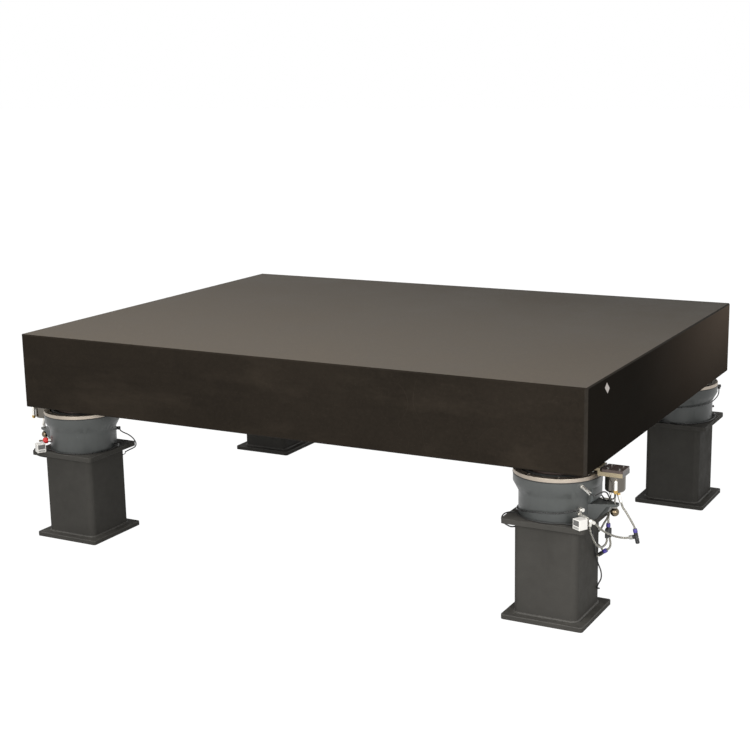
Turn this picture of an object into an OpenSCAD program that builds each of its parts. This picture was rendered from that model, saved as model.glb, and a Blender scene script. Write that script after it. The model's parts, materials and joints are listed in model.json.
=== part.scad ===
/* [Granite slab] */
// Length of the slab, left to right
slab_length = 2000; // [1400:10:3000]
// Depth of the slab, front to back
slab_depth = 1500; // [1000:10:2200]
// Thickness of the slab
slab_thickness = 250; // [150:5:350]
// Height of the slab's top above the floor
table_height = 710; // [660:5:950]
// Chamfer along the top and bottom edges
slab_edge_chamfer = 4; // [1:0.5:12]
// Chamfer of the four upright corners
slab_corner_chamfer = 8; // [2:0.5:30]

/* [Pedestals] */
// Distance from a slab end to an isolator's axis
leg_inset_x = 133; // [132:1:160]
// Distance from the slab's front or back to an isolator's axis
leg_inset_y = 133; // [110:1:300]
// Side of the square foot and head plates
plate_side = 250; // [242:1:300]
// Thickness of the plates
plate_thickness = 15; // [10:1:20]
// Corner radius of the plates
plate_corner = 9; // [3:1:20]
// Outer side of the square pedestal tube
tube_side = 195; // [150:1:200]
// Wall of the pedestal tube
tube_wall = 8; // [5:0.5:12]
// Outer corner radius of the pedestal tube
tube_corner = 20; // [15:1:30]
// Leg of the weld bead at both ends of the tube
weld_size = 3; // [1.5:0.5:4]

/* [Isolators] */
// Radius of the pot at its foot
pot_radius = 112; // [108:0.5:116]
// Radius of the flange at the pot's top
flange_radius = 128; // [126:0.5:130]
// Height of the pot's straight foot
pot_straight = 68; // [62:1:74]
// Height at which the flare reaches the flange
flare_top = 98; // [92:1:103]
// Height of the pot from its foot to the flange's top
pot_height = 121.5; // [119:0.5:130]
// Radius of the pot's mouth
mouth_radius = 99; // [96:0.5:101]
// Thickness of the pot's floor
pot_floor = 12; // [8:1:16]
// Thickness of the diaphragm
diaphragm_thickness = 2; // [1.5:0.1:2.5]
// Thickness of the clamp ring
ring_thickness = 12; // [10:0.5:14]
// Width of the clamp ring's face
ring_width = 20; // [18.5:0.5:22]
// Number of screws in one clamp ring
ring_screw_count = 8; // [6:1:16]
// Radius of the piston
piston_radius = 84; // [82:0.5:86]
// Height of the slab's underside above the pot's flange
isolator_rise = 33.5; // [33:0.5:42]
// Travel of the floating top from its stops
float_travel = 10; // [5:0.5:12]
// Radius of the hole in the damping plate
damping_hole = 14; // [13:0.1:18]

/* [Levelling valves] */
// Distance from the isolator's axis to the valve's axis
valve_reach = 172; // [168:0.5:176]
// Radius of the chrome valve cylinder
valve_radius = 29; // [26:0.5:31]
// Height of the chrome valve cylinder
valve_height = 48; // [46:1:52]
// Side of the square valve head
valve_head_side = 62; // [58:0.5:64]
// Thickness of the valve head
valve_head_thickness = 8; // [6:0.5:9.5]
// Width of the hanger bar
hanger_width = 62; // [56:1:70]
// Thickness of the hanger bar's outer flange
hanger_flange = 12; // [8:0.5:14]
// Radius of the sensing pin
pin_radius = 2.8; // [2:0.1:3.5]
// Height of the valve bracket
bracket_height = 48; // [44:1:52]
// Thickness of the bracket's top plate
bracket_plate = 7; // [5:0.5:9]
// Thickness of the bracket's cheeks
bracket_cheek = 5; // [3:0.5:6]
// Width of the bracket's centre rib
bracket_rib = 20; // [8:1:20]
// Radius of the ball on the adjusting screw
knob_radius = 12.6; // [9:0.1:13]
// Radius of the adjusting screw
stud_radius = 3.85; // [3:0.05:4]

/* [Pressure switches] */
// Side of the cube-shaped switch
switch_side = 30; // [28:0.5:34]
// Width of the display window
display_width = 24; // [18:0.5:26]
// Height of the display window
display_height = 15.5; // [10:0.5:16]
// Travel of the keys
key_travel = 0.4; // [0.2:0.1:0.6]

/* [Air fittings] */
// Outer diameter of the clear tubes
clear_tube = 6; // [4:0.5:6]
// Outer diameter of the black tubes and of the cables
black_tube = 4; // [3:0.5:4]
// Radius of a push-in fitting's body
fitting_radius = 5.5; // [4.5:0.1:5.7]
// Radius of a release collar
collar_radius = 4.8; // [4.2:0.1:5]
// Depth to which a tube goes into a fitting
insert_depth = 6; // [3:0.5:7]

/* [Hidden] */
$fn = 96;

// One corner of the table each: left or right, front or back
FL = [-1, -1];
FR = [1, -1];
BL = [-1, 1];
BR = [1, 1];
LEGS = [FL, FR, BL, BR];
VALVE_LEGS = [FL, FR, BL];

slab_bottom = table_height - slab_thickness;
isolator_height = pot_height + isolator_rise;
head_top = slab_bottom - isolator_height;
leg_x = slab_length/2 - leg_inset_x;
leg_y = slab_depth/2 - leg_inset_y;
tube_length = head_top - 2*plate_thickness;
plate_bottom = head_top - plate_thickness;

// Clearances
fit = 0.3;
thread_fit = 0.15;
slip = 0.2;

// Heights above the head plate
ring_bottom = pot_height + diaphragm_thickness;
ring_top = ring_bottom + ring_thickness;
stop_top = pot_height - 2.5;
stop_thickness = 12;
retainer_thickness = 10.5;
inner_flat_top = stop_top + retainer_thickness + diaphragm_thickness;
pad_thickness = 5;
piston_top = isolator_height - pad_thickness;
damping_bottom = 55;
damping_thickness = 6;
nut_thickness = 12;
nut_top = damping_bottom - float_travel;
stem_bottom = nut_top - nut_thickness - 2;

// Radii of the turned parts
shoulder_radius = mouth_radius - 4;
damping_seat = shoulder_radius - 7;
stop_bore = 66;
retainer_radius = piston_radius - 4;
stem_radius = 12;
nut_radius = 22;
pad_radius = 70;
ring_inner = flange_radius + 0.5 - ring_width;
bolt_circle = ring_inner + ring_width/2;

// Screws
m8_radius = 4;
m8_head_radius = 6.5;
m8_head = 8;
m5_radius = 2.5;
m5_head_radius = 4.3;
m5_head = 3;
floor_screw_circle = 72;

// Valve group, in the frame of its isolator
hanger_plate = 8;
hanger_inner = piston_radius + 5;
hanger_outer = valve_reach + valve_head_side/2;
hanger_web = leg_inset_x + 4;
hanger_drop = isolator_height - 22;
hanger_screw_x = (hanger_inner + leg_inset_x)/2;
hanger_screw_y = 18;
valve_bottom = hanger_drop - valve_height;
valve_rounding = 8;
head_screw = 17;
head_screw_length = hanger_flange + valve_head_thickness + 6;
bracket_toe = 123;
bracket_tip = valve_reach + 11;
nut_flats_radius = 7.5;
lock_nut_height = 6.5;
knob_flat = bracket_height - bracket_plate - lock_nut_height - fit;
knob_centre = knob_flat - 11.7;

function unit(v) = v/norm(v);
function radial(az) = [cos(az), sin(az), 0];
function clockwise(az) = [sin(az), -cos(az), 0];
function counter(az) = [-sin(az), cos(az), 0];
function at_angle(az, r, z) = [r*cos(az), r*sin(az), z];
function aimed(az, tilt) = [cos(az)*cos(tilt), sin(az)*cos(tilt), sin(tilt)];

// A fitting: seat on the surface, way out, reach to its bend, way of its mouth
mouth_length = 10;
spot_radius = 7;
pot_seat = pot_radius - 1.5;
flange_seat = flange_radius - 2;
function fit_centre(f) = f[0] + f[1]*f[2];
function fit_mouth(f) = fit_centre(f) + f[3]*mouth_length;
function fit_seat(f) = fit_mouth(f) - f[3]*insert_depth;
function straight(az, z, reach) = [at_angle(az, pot_seat, z), radial(az), reach, radial(az)];
function elbow(az, z, way) = [at_angle(az, pot_seat, z), radial(az), 11, way];

fr_output = [at_angle(-38, flange_seat, pot_height - 10.5), aimed(-29, -19), 29, aimed(-29, -19)];
fr_middle = elbow(-35, 40, clockwise(-35));
fr_feed = straight(28, 36, 16);
fr_return = straight(44, 24, 16);
fr_rear = elbow(72, 50, clockwise(72));
fr_side = elbow(158, 14, counter(158));
fl_loop = elbow(50, 50, clockwise(50));
fl_foot = elbow(15, 9, clockwise(15));
fl_leg = [[30, tube_side/2 - 1, -80], [0, 1, 0], 16, [0, 1, 0]];
br_upper = [at_angle(29, flange_seat, pot_height - 10.5), radial(29), 11, [0, 0, -1]];
br_plug = straight(35, 33, 4);
br_side = elbow(-135, 50, counter(-135));
br_foot = elbow(22, 9, clockwise(22));
br_foot_end = elbow(-112, 9, counter(-112));
bl_output = [at_angle(142, flange_seat, pot_height - 10.5), aimed(151, -19), 29, aimed(151, -19)];
bl_middle = elbow(145, 40, clockwise(145));

// Seat and way out of the twin fitting and of the bleed screw
twin_root = at_angle(-37, pot_seat, 26);
twin_hub = at_angle(-37, 171, 21);
twin_branch = [144, -91, 13];
twin_loop = [134, -100, 7];
bleed_az = 220;
bleed_z = 28;
bleed_root = at_angle(bleed_az, pot_seat, bleed_z);
bleed_collar = 9.5;

// Ports of each pot: seat and way out
function ports(fits) = [for (f = fits) [f[0], f[1]]];
FR_FITTINGS = [fr_output, fr_middle, fr_feed, fr_return, fr_rear, fr_side];
FL_FITTINGS = [fl_loop, fl_foot];
BR_FITTINGS = [br_upper, br_side, br_foot, br_foot_end];
BL_FITTINGS = [bl_output, bl_middle];
FR_PORTS = concat(ports(FR_FITTINGS), [[twin_root, unit(twin_hub - twin_root)]]);
FL_PORTS = concat(ports(FL_FITTINGS), [[bleed_root, radial(bleed_az)]]);
BR_PORTS = concat(ports(BR_FITTINGS), [[br_plug[0], br_plug[1]]]);
BL_PORTS = ports(BL_FITTINGS);

// Valve ports, in the frame of the isolator: outlet below, elbow in front
outlet_neck = [valve_reach + 7, 9, valve_bottom];
outlet_bend = [valve_reach + 7, 9, valve_bottom - 11];
outlet_mouth = [valve_reach + 15, 9, valve_bottom - 34];
slave_neck = [valve_reach - 10, -10, valve_bottom];
slave_mouth = [valve_reach - 10, -10, valve_bottom - 9];
elbow_root = [valve_reach, 0, valve_bottom + 37] + at_angle(-70, valve_radius - 1, 0);
elbow_bend = [valve_reach, 0, valve_bottom + 37] + at_angle(-70, valve_radius + 10, 0);
elbow_foot = elbow_bend - [0, 0, 24];
elbow_mouth = elbow_bend - [0, 0, 34];

// Tee, Y union and straight union beside the front right pedestal
tee_top = [230, 7, -24];
tee_low = [239, 7, -63];
tee_side = [217, 7, -48];
tee_centre = [234.4, 7, -43];
y_top = [145, 26, -25];
y_left = [143, 20, -64];
y_right = [148, 31, -64];
y_split = -43;
union_top = [138, 30, -106];
union_low = [117, 30, -122];
collar_length = 3;

// Pressure switches, in the frame of the isolator: centre and turn
switch_fr = [113, -119.5];
switch_fr_turn = -30;
switch_fl = [-84.5, -125.5];
switch_fl_turn = 57.5;
switch_corner = 2;
window_depth = 0.8;
window_z = 4.5;
keypad_width = 22;
keypad_height = 5;
keypad_z = -9;
keypad_depth = 2;
keypad_proud = 0.7;
keypad_base = keypad_depth - key_travel - 0.1;
key_count = 3;
exit_z = 9;
exit_depth = 4;
plug_radius = 7;
plug_length = 34;
plug_y = 111;
plug_z = plug_radius - tube_length - plate_thickness;
fr_plug_x = 36;
fl_plug_x = -16;

function face_point(centre, az, out, z) =
    [centre.x + (switch_side/2 + out)*cos(az), centre.y + (switch_side/2 + out)*sin(az), z];
fr_exit_az = 150;
fl_exit_az = 147.5;
fl_port_az = 57.5;

// Routes of the tubes and cables, in the frame of their isolator
valve_tube_route = concat(
    [outlet_mouth, outlet_mouth + unit(outlet_mouth - outlet_bend)*4],
    [[192, 9, 37], [201, 9, 25], [213, 8, 8], [223, 8, -8], [228, 7, -16]],
    into(tee_top, tee_centre));
branch_tube_route = concat(
    out_of(tee_side, tee_centre),
    [[206, 5, -51], [190, -4, -49], [173, -26, -38], [159, -50, -22], [151, -71, -5], [147, -84, 6]],
    into(twin_branch, twin_hub));
feed_tube_route = concat(
    out_of_fit(fr_feed),
    [[128, 68, 36], [135, 69.5, 34.5], [140, 66, 31.5], [142.5, 59, 27], [143, 50, 19], [143, 39, 8],
     [144, 30, -5], [145, 26, -15]],
    into(y_top, [145, 26, -50]));
loop_tube_route = concat(
    out_of(y_left, [143, 20, -40]),
    [[144, 19, -71], [143, 12, -80], [139, 0, -85], [135, -15, -82], [132, -35, -71],
     [130, -55, -50], [130, -76, -26], [132, -91, -10], [133, -97, -1]],
    into(twin_loop, twin_hub));
drop_tube_route = concat(
    out_of(y_right, [148, 31, -40]),
    [[149, 31, -72], [151, 31, -84], [149, 31, -95], [144, 30, -101.5]],
    into(union_top, union_low));
return_tube_route = concat(
    out_of(union_low, union_top),
    [[111, 32, -127], [109, 41, -131], [109, 57, -135], [109, 77, -136], [105, 96, -133], [94, 110, -127],
     [78, 116, -118], [68, 113, -106], [70, 108, -96], [81, 103.5, -86], [95, 97, -72], [107, 81, -56],
     [120, 65, -35], [131, 56, -18], [134, 57, -6], [134, 67, 6], [131, 80, 13], [126, 92, 19],
     [119, 101, 22.5], [112, 104.5, 24], [105, 101.5, 24]],
    into_fit(fr_return));
port_z = elbow_mouth.z;
fit_z = fit_mouth(fr_output).z;
output_tube_route = concat(
    [elbow_mouth, elbow_mouth - [0, 0, 4]],
    [[184, -37.5, port_z - 10], [180, -39, port_z - 14.5], [174, -41, port_z - 14.5],
     [169, -43, port_z - 9], [167, -46, port_z - 2], [165, -51, fit_z - 6], [161, -60, fit_z - 1],
     [157, -71, fit_z], [154, -81, fit_z - 1], [151, -88.5, fit_z - 2], [147.5, -95, fit_z - 3],
     [142.5, -98.8, fit_z - 3.5], [137, -98.3, fit_z - 2]],
    into_fit(fr_output));
slave_tube_route = concat(
    [slave_mouth],
    [slave_mouth - [0, 0, 7], slave_mouth - [3, -1, 15], [152, -5, 54.5],
     [143, 5, 51], [134, 19, 50.5], [124, 36, 51],
     [112, 52, 52], [98, 68, 52], [82, 86, 51], [70, 101, 50], [58, 109, 50]],
    into_fit(fr_rear));
round_tube_route = concat(
    out_of_fit(fr_middle),
    [[87, -84, 39], [76, -90, 37], [60, -101, 34], [36, -111.5, 32], [10, -117, 31], [-18, -116, 29.5],
     [-45, -108.5, 26], [-70, -94.5, 21], [-92, -73, 15], [-107, -48, 9], [-116, -20, 6], [-119, 6, 8],
     [-119.5, 26, 13]],
    into_fit(fr_side));
cable_fr_route = concat(
    [face_point(switch_fr, fr_exit_az, -exit_depth, exit_z), face_point(switch_fr, fr_exit_az, 0, exit_z)],
    [[93, -108, 7], [84, -104, 4], [72, -103, 2.6], [58, -102, 2.4], [24, -115, 2.4], [-12, -117, 2.4],
     [-48, -107, 2.4], [-79, -87, 2.4], [-94, -70.5, 2.4], [-102, -64, 2.4], [-110.5, -62, 2.4],
     [-118, -65.5, 2.4], [-124, -74, 2.5], [-128.5, -86, 2], [-131, -95, -2.5], [-131, -100, -10],
     [-126, -101, -19], [-117, -96, -27], [-109, -87, -34],
     [-103, -70, -38], [-101, -40, -38], [-101, 10, -36], [-101, 60, -34], [-99, 91, -31], [-88, 102, -29],
     [-60, 101.5, -27], [-20, 101, -26], [20, 101, -26], [60, 101.5, -25], [88, 101, -24], [100, 90, -24],
     [102, 70, -24], [102, 45, -24], [102, 24, -26], [102, 13, -33], [102, 12, -44], [101, 22, -62],
     [100.5, 34, -86], [100.5, 42, -110], [101, 50, -134], [106, 57, -160], [114, 60, -184], [114, 61, -206],
     [106, 60, -224], [101, 67, -237], [101, 84, -246], [95, 98, -252], [82, 107, -259], [66, 111, -269],
     [51, 111, -279], [43, 111, plug_z]],
    [[fr_plug_x, plug_y, plug_z], [fr_plug_x - insert_depth, plug_y, plug_z]]);
loop_fl_route = concat(
    out_of_fit(fl_loop),
    [[94, 80, 50], [104, 70, 50.5], [116, 62, 49], [130, 58, 46.5], [146, 57, 43], [161, 57, 36],
     [173, 57, 26], [179, 57, 14], [176, 57, 4], [166, 58, -3], [150, 60, -11], [134, 64, -19],
     [118, 74, -27], [103, 92, -36], [87, 108, -46], [70, 121, -54], [55, 133, -62], [43, 139.5, -69],
     [34, 139, -75], [30.5, 134, -79], [30, 128, -80]],
    into_fit(fl_leg));
foot_fl_route = concat(
    [face_point(switch_fl, fl_port_az, -exit_depth, exit_z), face_point(switch_fl, fl_port_az, 0, exit_z)],
    [[-73, -108, 7], [-65, -105, 4], [-52, -106, 2.6], [-24, -115, 2.4], [12, -117, 2.4], [46, -108, 2.4],
     [76, -90, 2.4], [99, -64, 2.4], [113, -34, 2.4], [119, -8, 3], [122, 10, 7]],
    into_fit(fl_foot));
cable_fl_route = concat(
    [face_point(switch_fl, fl_exit_az, -exit_depth, exit_z), face_point(switch_fl, fl_exit_az, 0, exit_z)],
    [[-103, -114, 7], [-110, -111, 4], [-118, -108, 2.6], [-126, -106, 2.4], [-131, -105, -3],
     [-132, -104, -12],
     [-126, -102, -20], [-115, -98, -25], [-106, -87, -30], [-101.5, -68, -36], [-101, -30, -48],
     [-101, 20, -64], [-101, 60, -84], [-99, 90, -110], [-90, 105, -140], [-76, 111, -176], [-66, 112, -215],
     [-56, 112, -250], [-44, 111, -275], [-32, 111, -282.5], [-24, 111, plug_z]],
    [[fl_plug_x, plug_y, plug_z], [fl_plug_x + insert_depth, plug_y, plug_z]]);
br_z = fit_mouth(br_upper).z;
loop_br_route = concat(
    out_of_fit(br_upper),
    [[120, 66, br_z - 7], [121, 60, br_z - 15], [121, 48, br_z - 22], [120, 32, 75],
     [119, 12, 72], [116, -22, 69.5],
     [103, -56, 67], [84, -82, 65.5], [58, -102, 63.5], [28, -114, 61], [-6, -117, 58], [-38, -111.5, 55],
     [-58, -104, 52], [-70, -101, 50.5]],
    into_fit(br_side));
foot_br_route = concat(
    out_of_fit(br_foot),
    [[120, 24, 6], [119, 6, 2.8], [116.5, -14, 2.4], [107, -48, 2.4], [87, -79, 2.4], [60, -101, 2.4],
     [28, -114, 2.4], [0, -118, 2.8], [-22, -121, 6]],
    into_fit(br_foot_end));

// A route's first or last two points, inside and at the mouth of what holds the tube
function out_of(mouth, from) = [mouth + unit(from - mouth)*insert_depth, mouth];
function into(mouth, from) = [mouth, mouth + unit(from - mouth)*insert_depth];
function out_of_fit(f) = [fit_seat(f), fit_mouth(f)];
function into_fit(f) = [fit_mouth(f), fit_seat(f)];

// Sweep of a round tube along a route
function tangents(route) = let (last = len(route) - 1)
    [for (i = [0:last]) unit(route[min(i + 1, last)] - route[max(i - 1, 0)])];
function side_of(t) = unit(cross(t, abs(t.z) < 0.8 ? [0, 0, 1] : [1, 0, 0]));
function carried(ways, side, i) = i == len(ways) ? [] :
    let (next = unit(side - (side*ways[i])*ways[i])) concat([next], carried(ways, next, i + 1));
function ring_points(p, way, side, r, sides) =
    [for (k = [0:sides - 1]) let (a = 360*k/sides) p + r*(cos(a)*side + sin(a)*cross(way, side))];

module tube(route, diameter, sides) {
    ways = tangents(route);
    normals = carried(ways, side_of(ways[0]), 0);
    last = len(route) - 1;
    rings = [for (i = [0:last]) each ring_points(route[i], ways[i], normals[i], diameter/2, sides)];
    walls = [for (i = [0:last - 1], k = [0:sides - 1], half = [0, 1])
        let (a = i*sides + k, b = i*sides + (k + 1)%sides)
        half == 0 ? [a, b, b + sides] : [a, b + sides, a + sides]];
    caps = [[for (k = [0:sides - 1]) sides - 1 - k], [for (k = [0:sides - 1]) last*sides + k]];
    polyhedron(points = rings, faces = [for (f = concat(walls, caps)) [for (k = [len(f) - 1:-1:0]) f[k]]]);
}

module clear_cord(route) color([0.82, 0.85, 0.8, 0.7]) tube(route, clear_tube, 10);
module black_cord(route) color([0.06, 0.06, 0.06]) tube(route, black_tube, 8);

// Placing
module at_leg(leg, z = 0) translate([leg.x*leg_x, leg.y*leg_y, z]) children();
module on_head(leg) at_leg(leg, head_top) children();
module facing_out(leg)
    on_head(leg) mirror([leg.x < 0 ? 1 : 0, 0, 0]) mirror([0, leg.y > 0 ? 1 : 0, 0]) children();
module aim(from, to) {
    way = to - from;
    translate(from) rotate([0, acos(way.z/norm(way)), atan2(way.y, way.x)]) children();
}
module rod(from, to, r) aim(from, to) cylinder(r = r, h = norm(to - from));
module ball(p, r) translate(p) sphere(r = r);
module around(count, radius) for (i = [0:count - 1])
    rotate((i + 0.5)*360/count) translate([radius, 0, 0]) children();

// Outline of a square with round corners
module round_square(side, corner) {
    square([side, side - 2*corner], center = true);
    square([side - 2*corner, side], center = true);
    for (x = [-1, 1], y = [-1, 1])
        translate([x*(side/2 - corner), y*(side/2 - corner)]) circle(r = corner);
}

// Outline of a rectangle with cut corners
module cut_rectangle(x, y, cut) polygon([
    [-x/2 + cut, -y/2], [x/2 - cut, -y/2], [x/2, -y/2 + cut], [x/2, y/2 - cut],
    [x/2 - cut, y/2], [-x/2 + cut, y/2], [-x/2, y/2 - cut], [-x/2, -y/2 + cut]]);

// Slab
module granite_slab() color([0.2, 0.18, 0.16]) difference() {
    translate([0, 0, slab_bottom + slab_thickness/2]) intersection() {
        linear_extrude(slab_thickness, center = true)
            cut_rectangle(slab_length, slab_depth, slab_corner_chamfer);
        rotate([90, 0, 0]) linear_extrude(slab_depth, center = true)
            cut_rectangle(slab_length, slab_thickness, slab_edge_chamfer);
        rotate([90, 0, 90]) linear_extrude(slab_length, center = true)
            cut_rectangle(slab_depth, slab_thickness, slab_edge_chamfer);
    }
    for (leg = VALVE_LEGS) facing_out(leg) hanger_screw_places(isolator_height - 1)
        cylinder(r = m8_radius + thread_fit, h = 26);
}

// Pedestal
module base_plate(leg) color([0.3, 0.3, 0.28])
    at_leg(leg) linear_extrude(plate_thickness) round_square(plate_side, plate_corner);

module leg_tube(leg) color([0.28, 0.28, 0.26]) at_leg(leg, plate_thickness) difference() {
    union() {
        linear_extrude(tube_length) round_square(tube_side, tube_corner);
        for (z = [0, tube_length - weld_size]) translate([0, 0, z])
            linear_extrude(weld_size) round_square(tube_side + 2*weld_size, tube_corner + weld_size);
    }
    translate([0, 0, -1])
        linear_extrude(tube_length + 2) round_square(tube_side - 2*tube_wall, tube_corner - tube_wall);
    if (leg == FL) translate([0, 0, head_top - plate_thickness]) port_cut(fl_leg);
}

module head_plate(leg) color([0.32, 0.32, 0.3]) difference() {
    at_leg(leg, plate_bottom) linear_extrude(plate_thickness) round_square(plate_side, plate_corner);
    on_head(leg) floor_screw_places(-10) cylinder(r = m8_radius + thread_fit, h = 11);
}

// Isolator
module ring_screw_places(z) translate([0, 0, z]) around(ring_screw_count, bolt_circle) children();
module floor_screw_places(z) translate([0, 0, z]) around(4, floor_screw_circle) children();

module port_cut(port) {
    aim(port[0], port[0] + port[1]) cylinder(r = spot_radius, h = 12);
    aim(port[0] - port[1]*16, port[0]) cylinder(r = m8_radius + slip, h = 17);
}

module isolator_pot(leg, port_list) color([0.34, 0.37, 0.38]) on_head(leg) difference() {
    rotate_extrude() polygon([
        [0, 0], [pot_radius, 0], [pot_radius, pot_straight], [flange_radius, flare_top],
        [flange_radius, pot_height], [mouth_radius, pot_height],
        [mouth_radius, stop_top - stop_thickness], [shoulder_radius, stop_top - stop_thickness],
        [shoulder_radius, damping_bottom], [damping_seat, damping_bottom],
        [damping_seat, pot_floor], [0, pot_floor]]);
    ring_screw_places(pot_height - 20) cylinder(r = m8_radius + thread_fit, h = 21);
    floor_screw_places(-1) cylinder(r = m8_radius + slip, h = pot_floor + 2);
    for (port = port_list) port_cut(port);
}

module clamp_ring(leg) color([0.8, 0.76, 0.7]) on_head(leg) difference() {
    rotate_extrude() polygon([
        [ring_inner, ring_bottom], [flange_radius + 0.5, ring_bottom],
        [flange_radius + 0.5, ring_top - 1], [flange_radius - 0.5, ring_top],
        [ring_inner + 1, ring_top], [ring_inner, ring_top - 1]]);
    ring_screw_places(ring_bottom - 1) cylinder(r = m8_radius + slip, h = ring_thickness + 2);
    ring_screw_places(ring_top - m8_head - 0.5) cylinder(r = m8_head_radius + slip, h = m8_head + 2);
}

module socket_screw(shank) difference() {
    union() {
        cylinder(r = m8_head_radius, h = m8_head);
        translate([0, 0, -shank]) cylinder(r = m8_radius, h = shank + 1);
    }
    translate([0, 0, m8_head - 4]) cylinder(r = 3.5, h = 5, $fn = 6);
}

module isolator_screws() color([0.25, 0.25, 0.26]) for (leg = LEGS) on_head(leg) {
    ring_screw_places(ring_top - m8_head - 0.5) socket_screw(20);
    floor_screw_places(pot_floor) socket_screw(pot_floor + 9);
}

module damping_plates() color([0.6, 0.61, 0.62]) for (leg = LEGS) on_head(leg)
    translate([0, 0, damping_bottom]) difference() {
        cylinder(r = shoulder_radius - fit, h = damping_thickness);
        translate([0, 0, -1]) cylinder(r = damping_hole, h = damping_thickness + 2);
    }

module stop_rings() color([0.55, 0.56, 0.57]) for (leg = LEGS) on_head(leg)
    translate([0, 0, stop_top - stop_thickness]) difference() {
        cylinder(r = mouth_radius - fit, h = stop_thickness);
        translate([0, 0, -1]) cylinder(r = stop_bore, h = stop_thickness + 2);
    }

// Middle line of the diaphragm's fold, from the clamp ring in to the piston
fold_steps = 14;
fold_rise = 9.5;
fold_out = ring_inner - 1.5;
fold_in = piston_radius + 2;
fold_low = pot_height + diaphragm_thickness/2;
fold_high = inner_flat_top - diaphragm_thickness/2;
function fold(t, offset) = [
    fold_out + (fold_in - fold_out)*t,
    fold_low + (fold_high - fold_low)*t + fold_rise*sin(180*t) + offset];

module diaphragms() color([0.05, 0.05, 0.05]) for (leg = LEGS) on_head(leg) difference() {
    rotate_extrude() polygon(concat(
        [[stem_radius + fit, inner_flat_top - diaphragm_thickness], [stem_radius + fit, inner_flat_top]],
        [for (i = [fold_steps:-1:0]) fold(i/fold_steps, diaphragm_thickness/2)],
        [[flange_radius + 0.3, ring_bottom], [flange_radius + 0.3, pot_height]],
        [for (i = [0:fold_steps]) fold(i/fold_steps, -diaphragm_thickness/2)]));
    ring_screw_places(pot_height - 1) cylinder(r = m8_radius + slip, h = diaphragm_thickness + 2);
}

module piston(leg) color([0.2, 0.19, 0.18]) on_head(leg) union() {
    rotate_extrude() polygon([
        [0, inner_flat_top], [piston_radius, inner_flat_top], [piston_radius, piston_top - 2],
        [piston_radius - 2, piston_top], [0, piston_top]]);
    translate([0, 0, stem_bottom]) cylinder(r = stem_radius, h = inner_flat_top - stem_bottom + 1);
}

module piston_retainers() color([0.6, 0.6, 0.6]) for (leg = LEGS) on_head(leg) {
    translate([0, 0, stop_top]) difference() {
        cylinder(r = retainer_radius, h = retainer_thickness);
        translate([0, 0, -1]) cylinder(r = stem_radius + slip, h = retainer_thickness + 2);
    }
    translate([0, 0, nut_top - nut_thickness]) difference() {
        cylinder(r = nut_radius, h = nut_thickness);
        translate([0, 0, -1]) cylinder(r = stem_radius + slip, h = nut_thickness + 2);
    }
}

module load_pads() color([0.1, 0.1, 0.1]) for (leg = LEGS) on_head(leg)
    translate([0, 0, piston_top]) cylinder(r = pad_radius, h = pad_thickness);

// Levelling valve, hung from the slab
module hanger_screw_places(z) for (y = [-1, 1]) translate([hanger_screw_x, y*hanger_screw_y, z]) children();
module head_screw_places(z) for (x = [-1, 1], y = [-1, 1])
    translate([valve_reach + x*head_screw, y*head_screw, z]) children();

module hanger_bars() color([0.7, 0.66, 0.52]) for (leg = VALVE_LEGS) facing_out(leg) difference() {
    rotate([90, 0, 0]) linear_extrude(hanger_width, center = true) polygon([
        [hanger_inner, isolator_height - hanger_plate], [hanger_inner, isolator_height],
        [hanger_web, isolator_height], [hanger_web, hanger_drop + hanger_flange],
        [hanger_outer, hanger_drop + hanger_flange], [hanger_outer, hanger_drop],
        [hanger_web - 7, hanger_drop], [hanger_web - 7, isolator_height - hanger_plate]]);
    hanger_screw_places(isolator_height - hanger_plate - 1)
        cylinder(r = m8_radius + slip, h = hanger_plate + 2);
    head_screw_places(hanger_drop - 1) cylinder(r = m5_radius + slip, h = hanger_flange + 2);
}

module valve_heads() color([0.31, 0.26, 0.24]) for (leg = VALVE_LEGS) facing_out(leg) difference() {
    translate([valve_reach, 0, hanger_drop + hanger_flange])
        linear_extrude(valve_head_thickness) round_square(valve_head_side, 3);
    head_screw_places(hanger_drop) cylinder(r = m5_radius + slip, h = 40);
}

module valve_cylinders() color([0.62, 0.6, 0.58]) for (leg = VALVE_LEGS) facing_out(leg) difference() {
    translate([valve_reach, 0, valve_bottom]) rotate_extrude() polygon(concat(
        [[0, 0]],
        [for (a = [-90:15:0]) [valve_radius - valve_rounding + valve_rounding*cos(a),
            valve_rounding + valve_rounding*sin(a)]],
        [[valve_radius, valve_height], [0, valve_height]]));
    translate([valve_reach, 0, valve_bottom - 1]) cylinder(r = pin_radius + 0.5, h = 27);
    head_screw_places(hanger_drop - 9) cylinder(r = m5_radius + thread_fit, h = 10);
    aim(elbow_root, elbow_bend) cylinder(r = fitting_radius + fit, h = 12);
}

module valve_ports() color([0.75, 0.72, 0.66]) for (leg = VALVE_LEGS) facing_out(leg) {
    rod(outlet_neck, outlet_bend, fitting_radius - 0.5);
    ball(outlet_bend, fitting_radius);
    rod(outlet_bend, outlet_mouth, fitting_radius - 0.7);
    rod(slave_neck, slave_mouth, fitting_radius - 1.5);
    rod(elbow_root, elbow_bend, fitting_radius - 0.4);
    ball(elbow_bend, fitting_radius);
    rod(elbow_foot, elbow_bend, fitting_radius - 0.2);
    aim(elbow_foot - [0, 0, 7], elbow_foot) cylinder(r = fitting_radius + 1, h = 7, $fn = 6);
    rod(elbow_mouth, elbow_foot, fitting_radius - 1);
}

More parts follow.
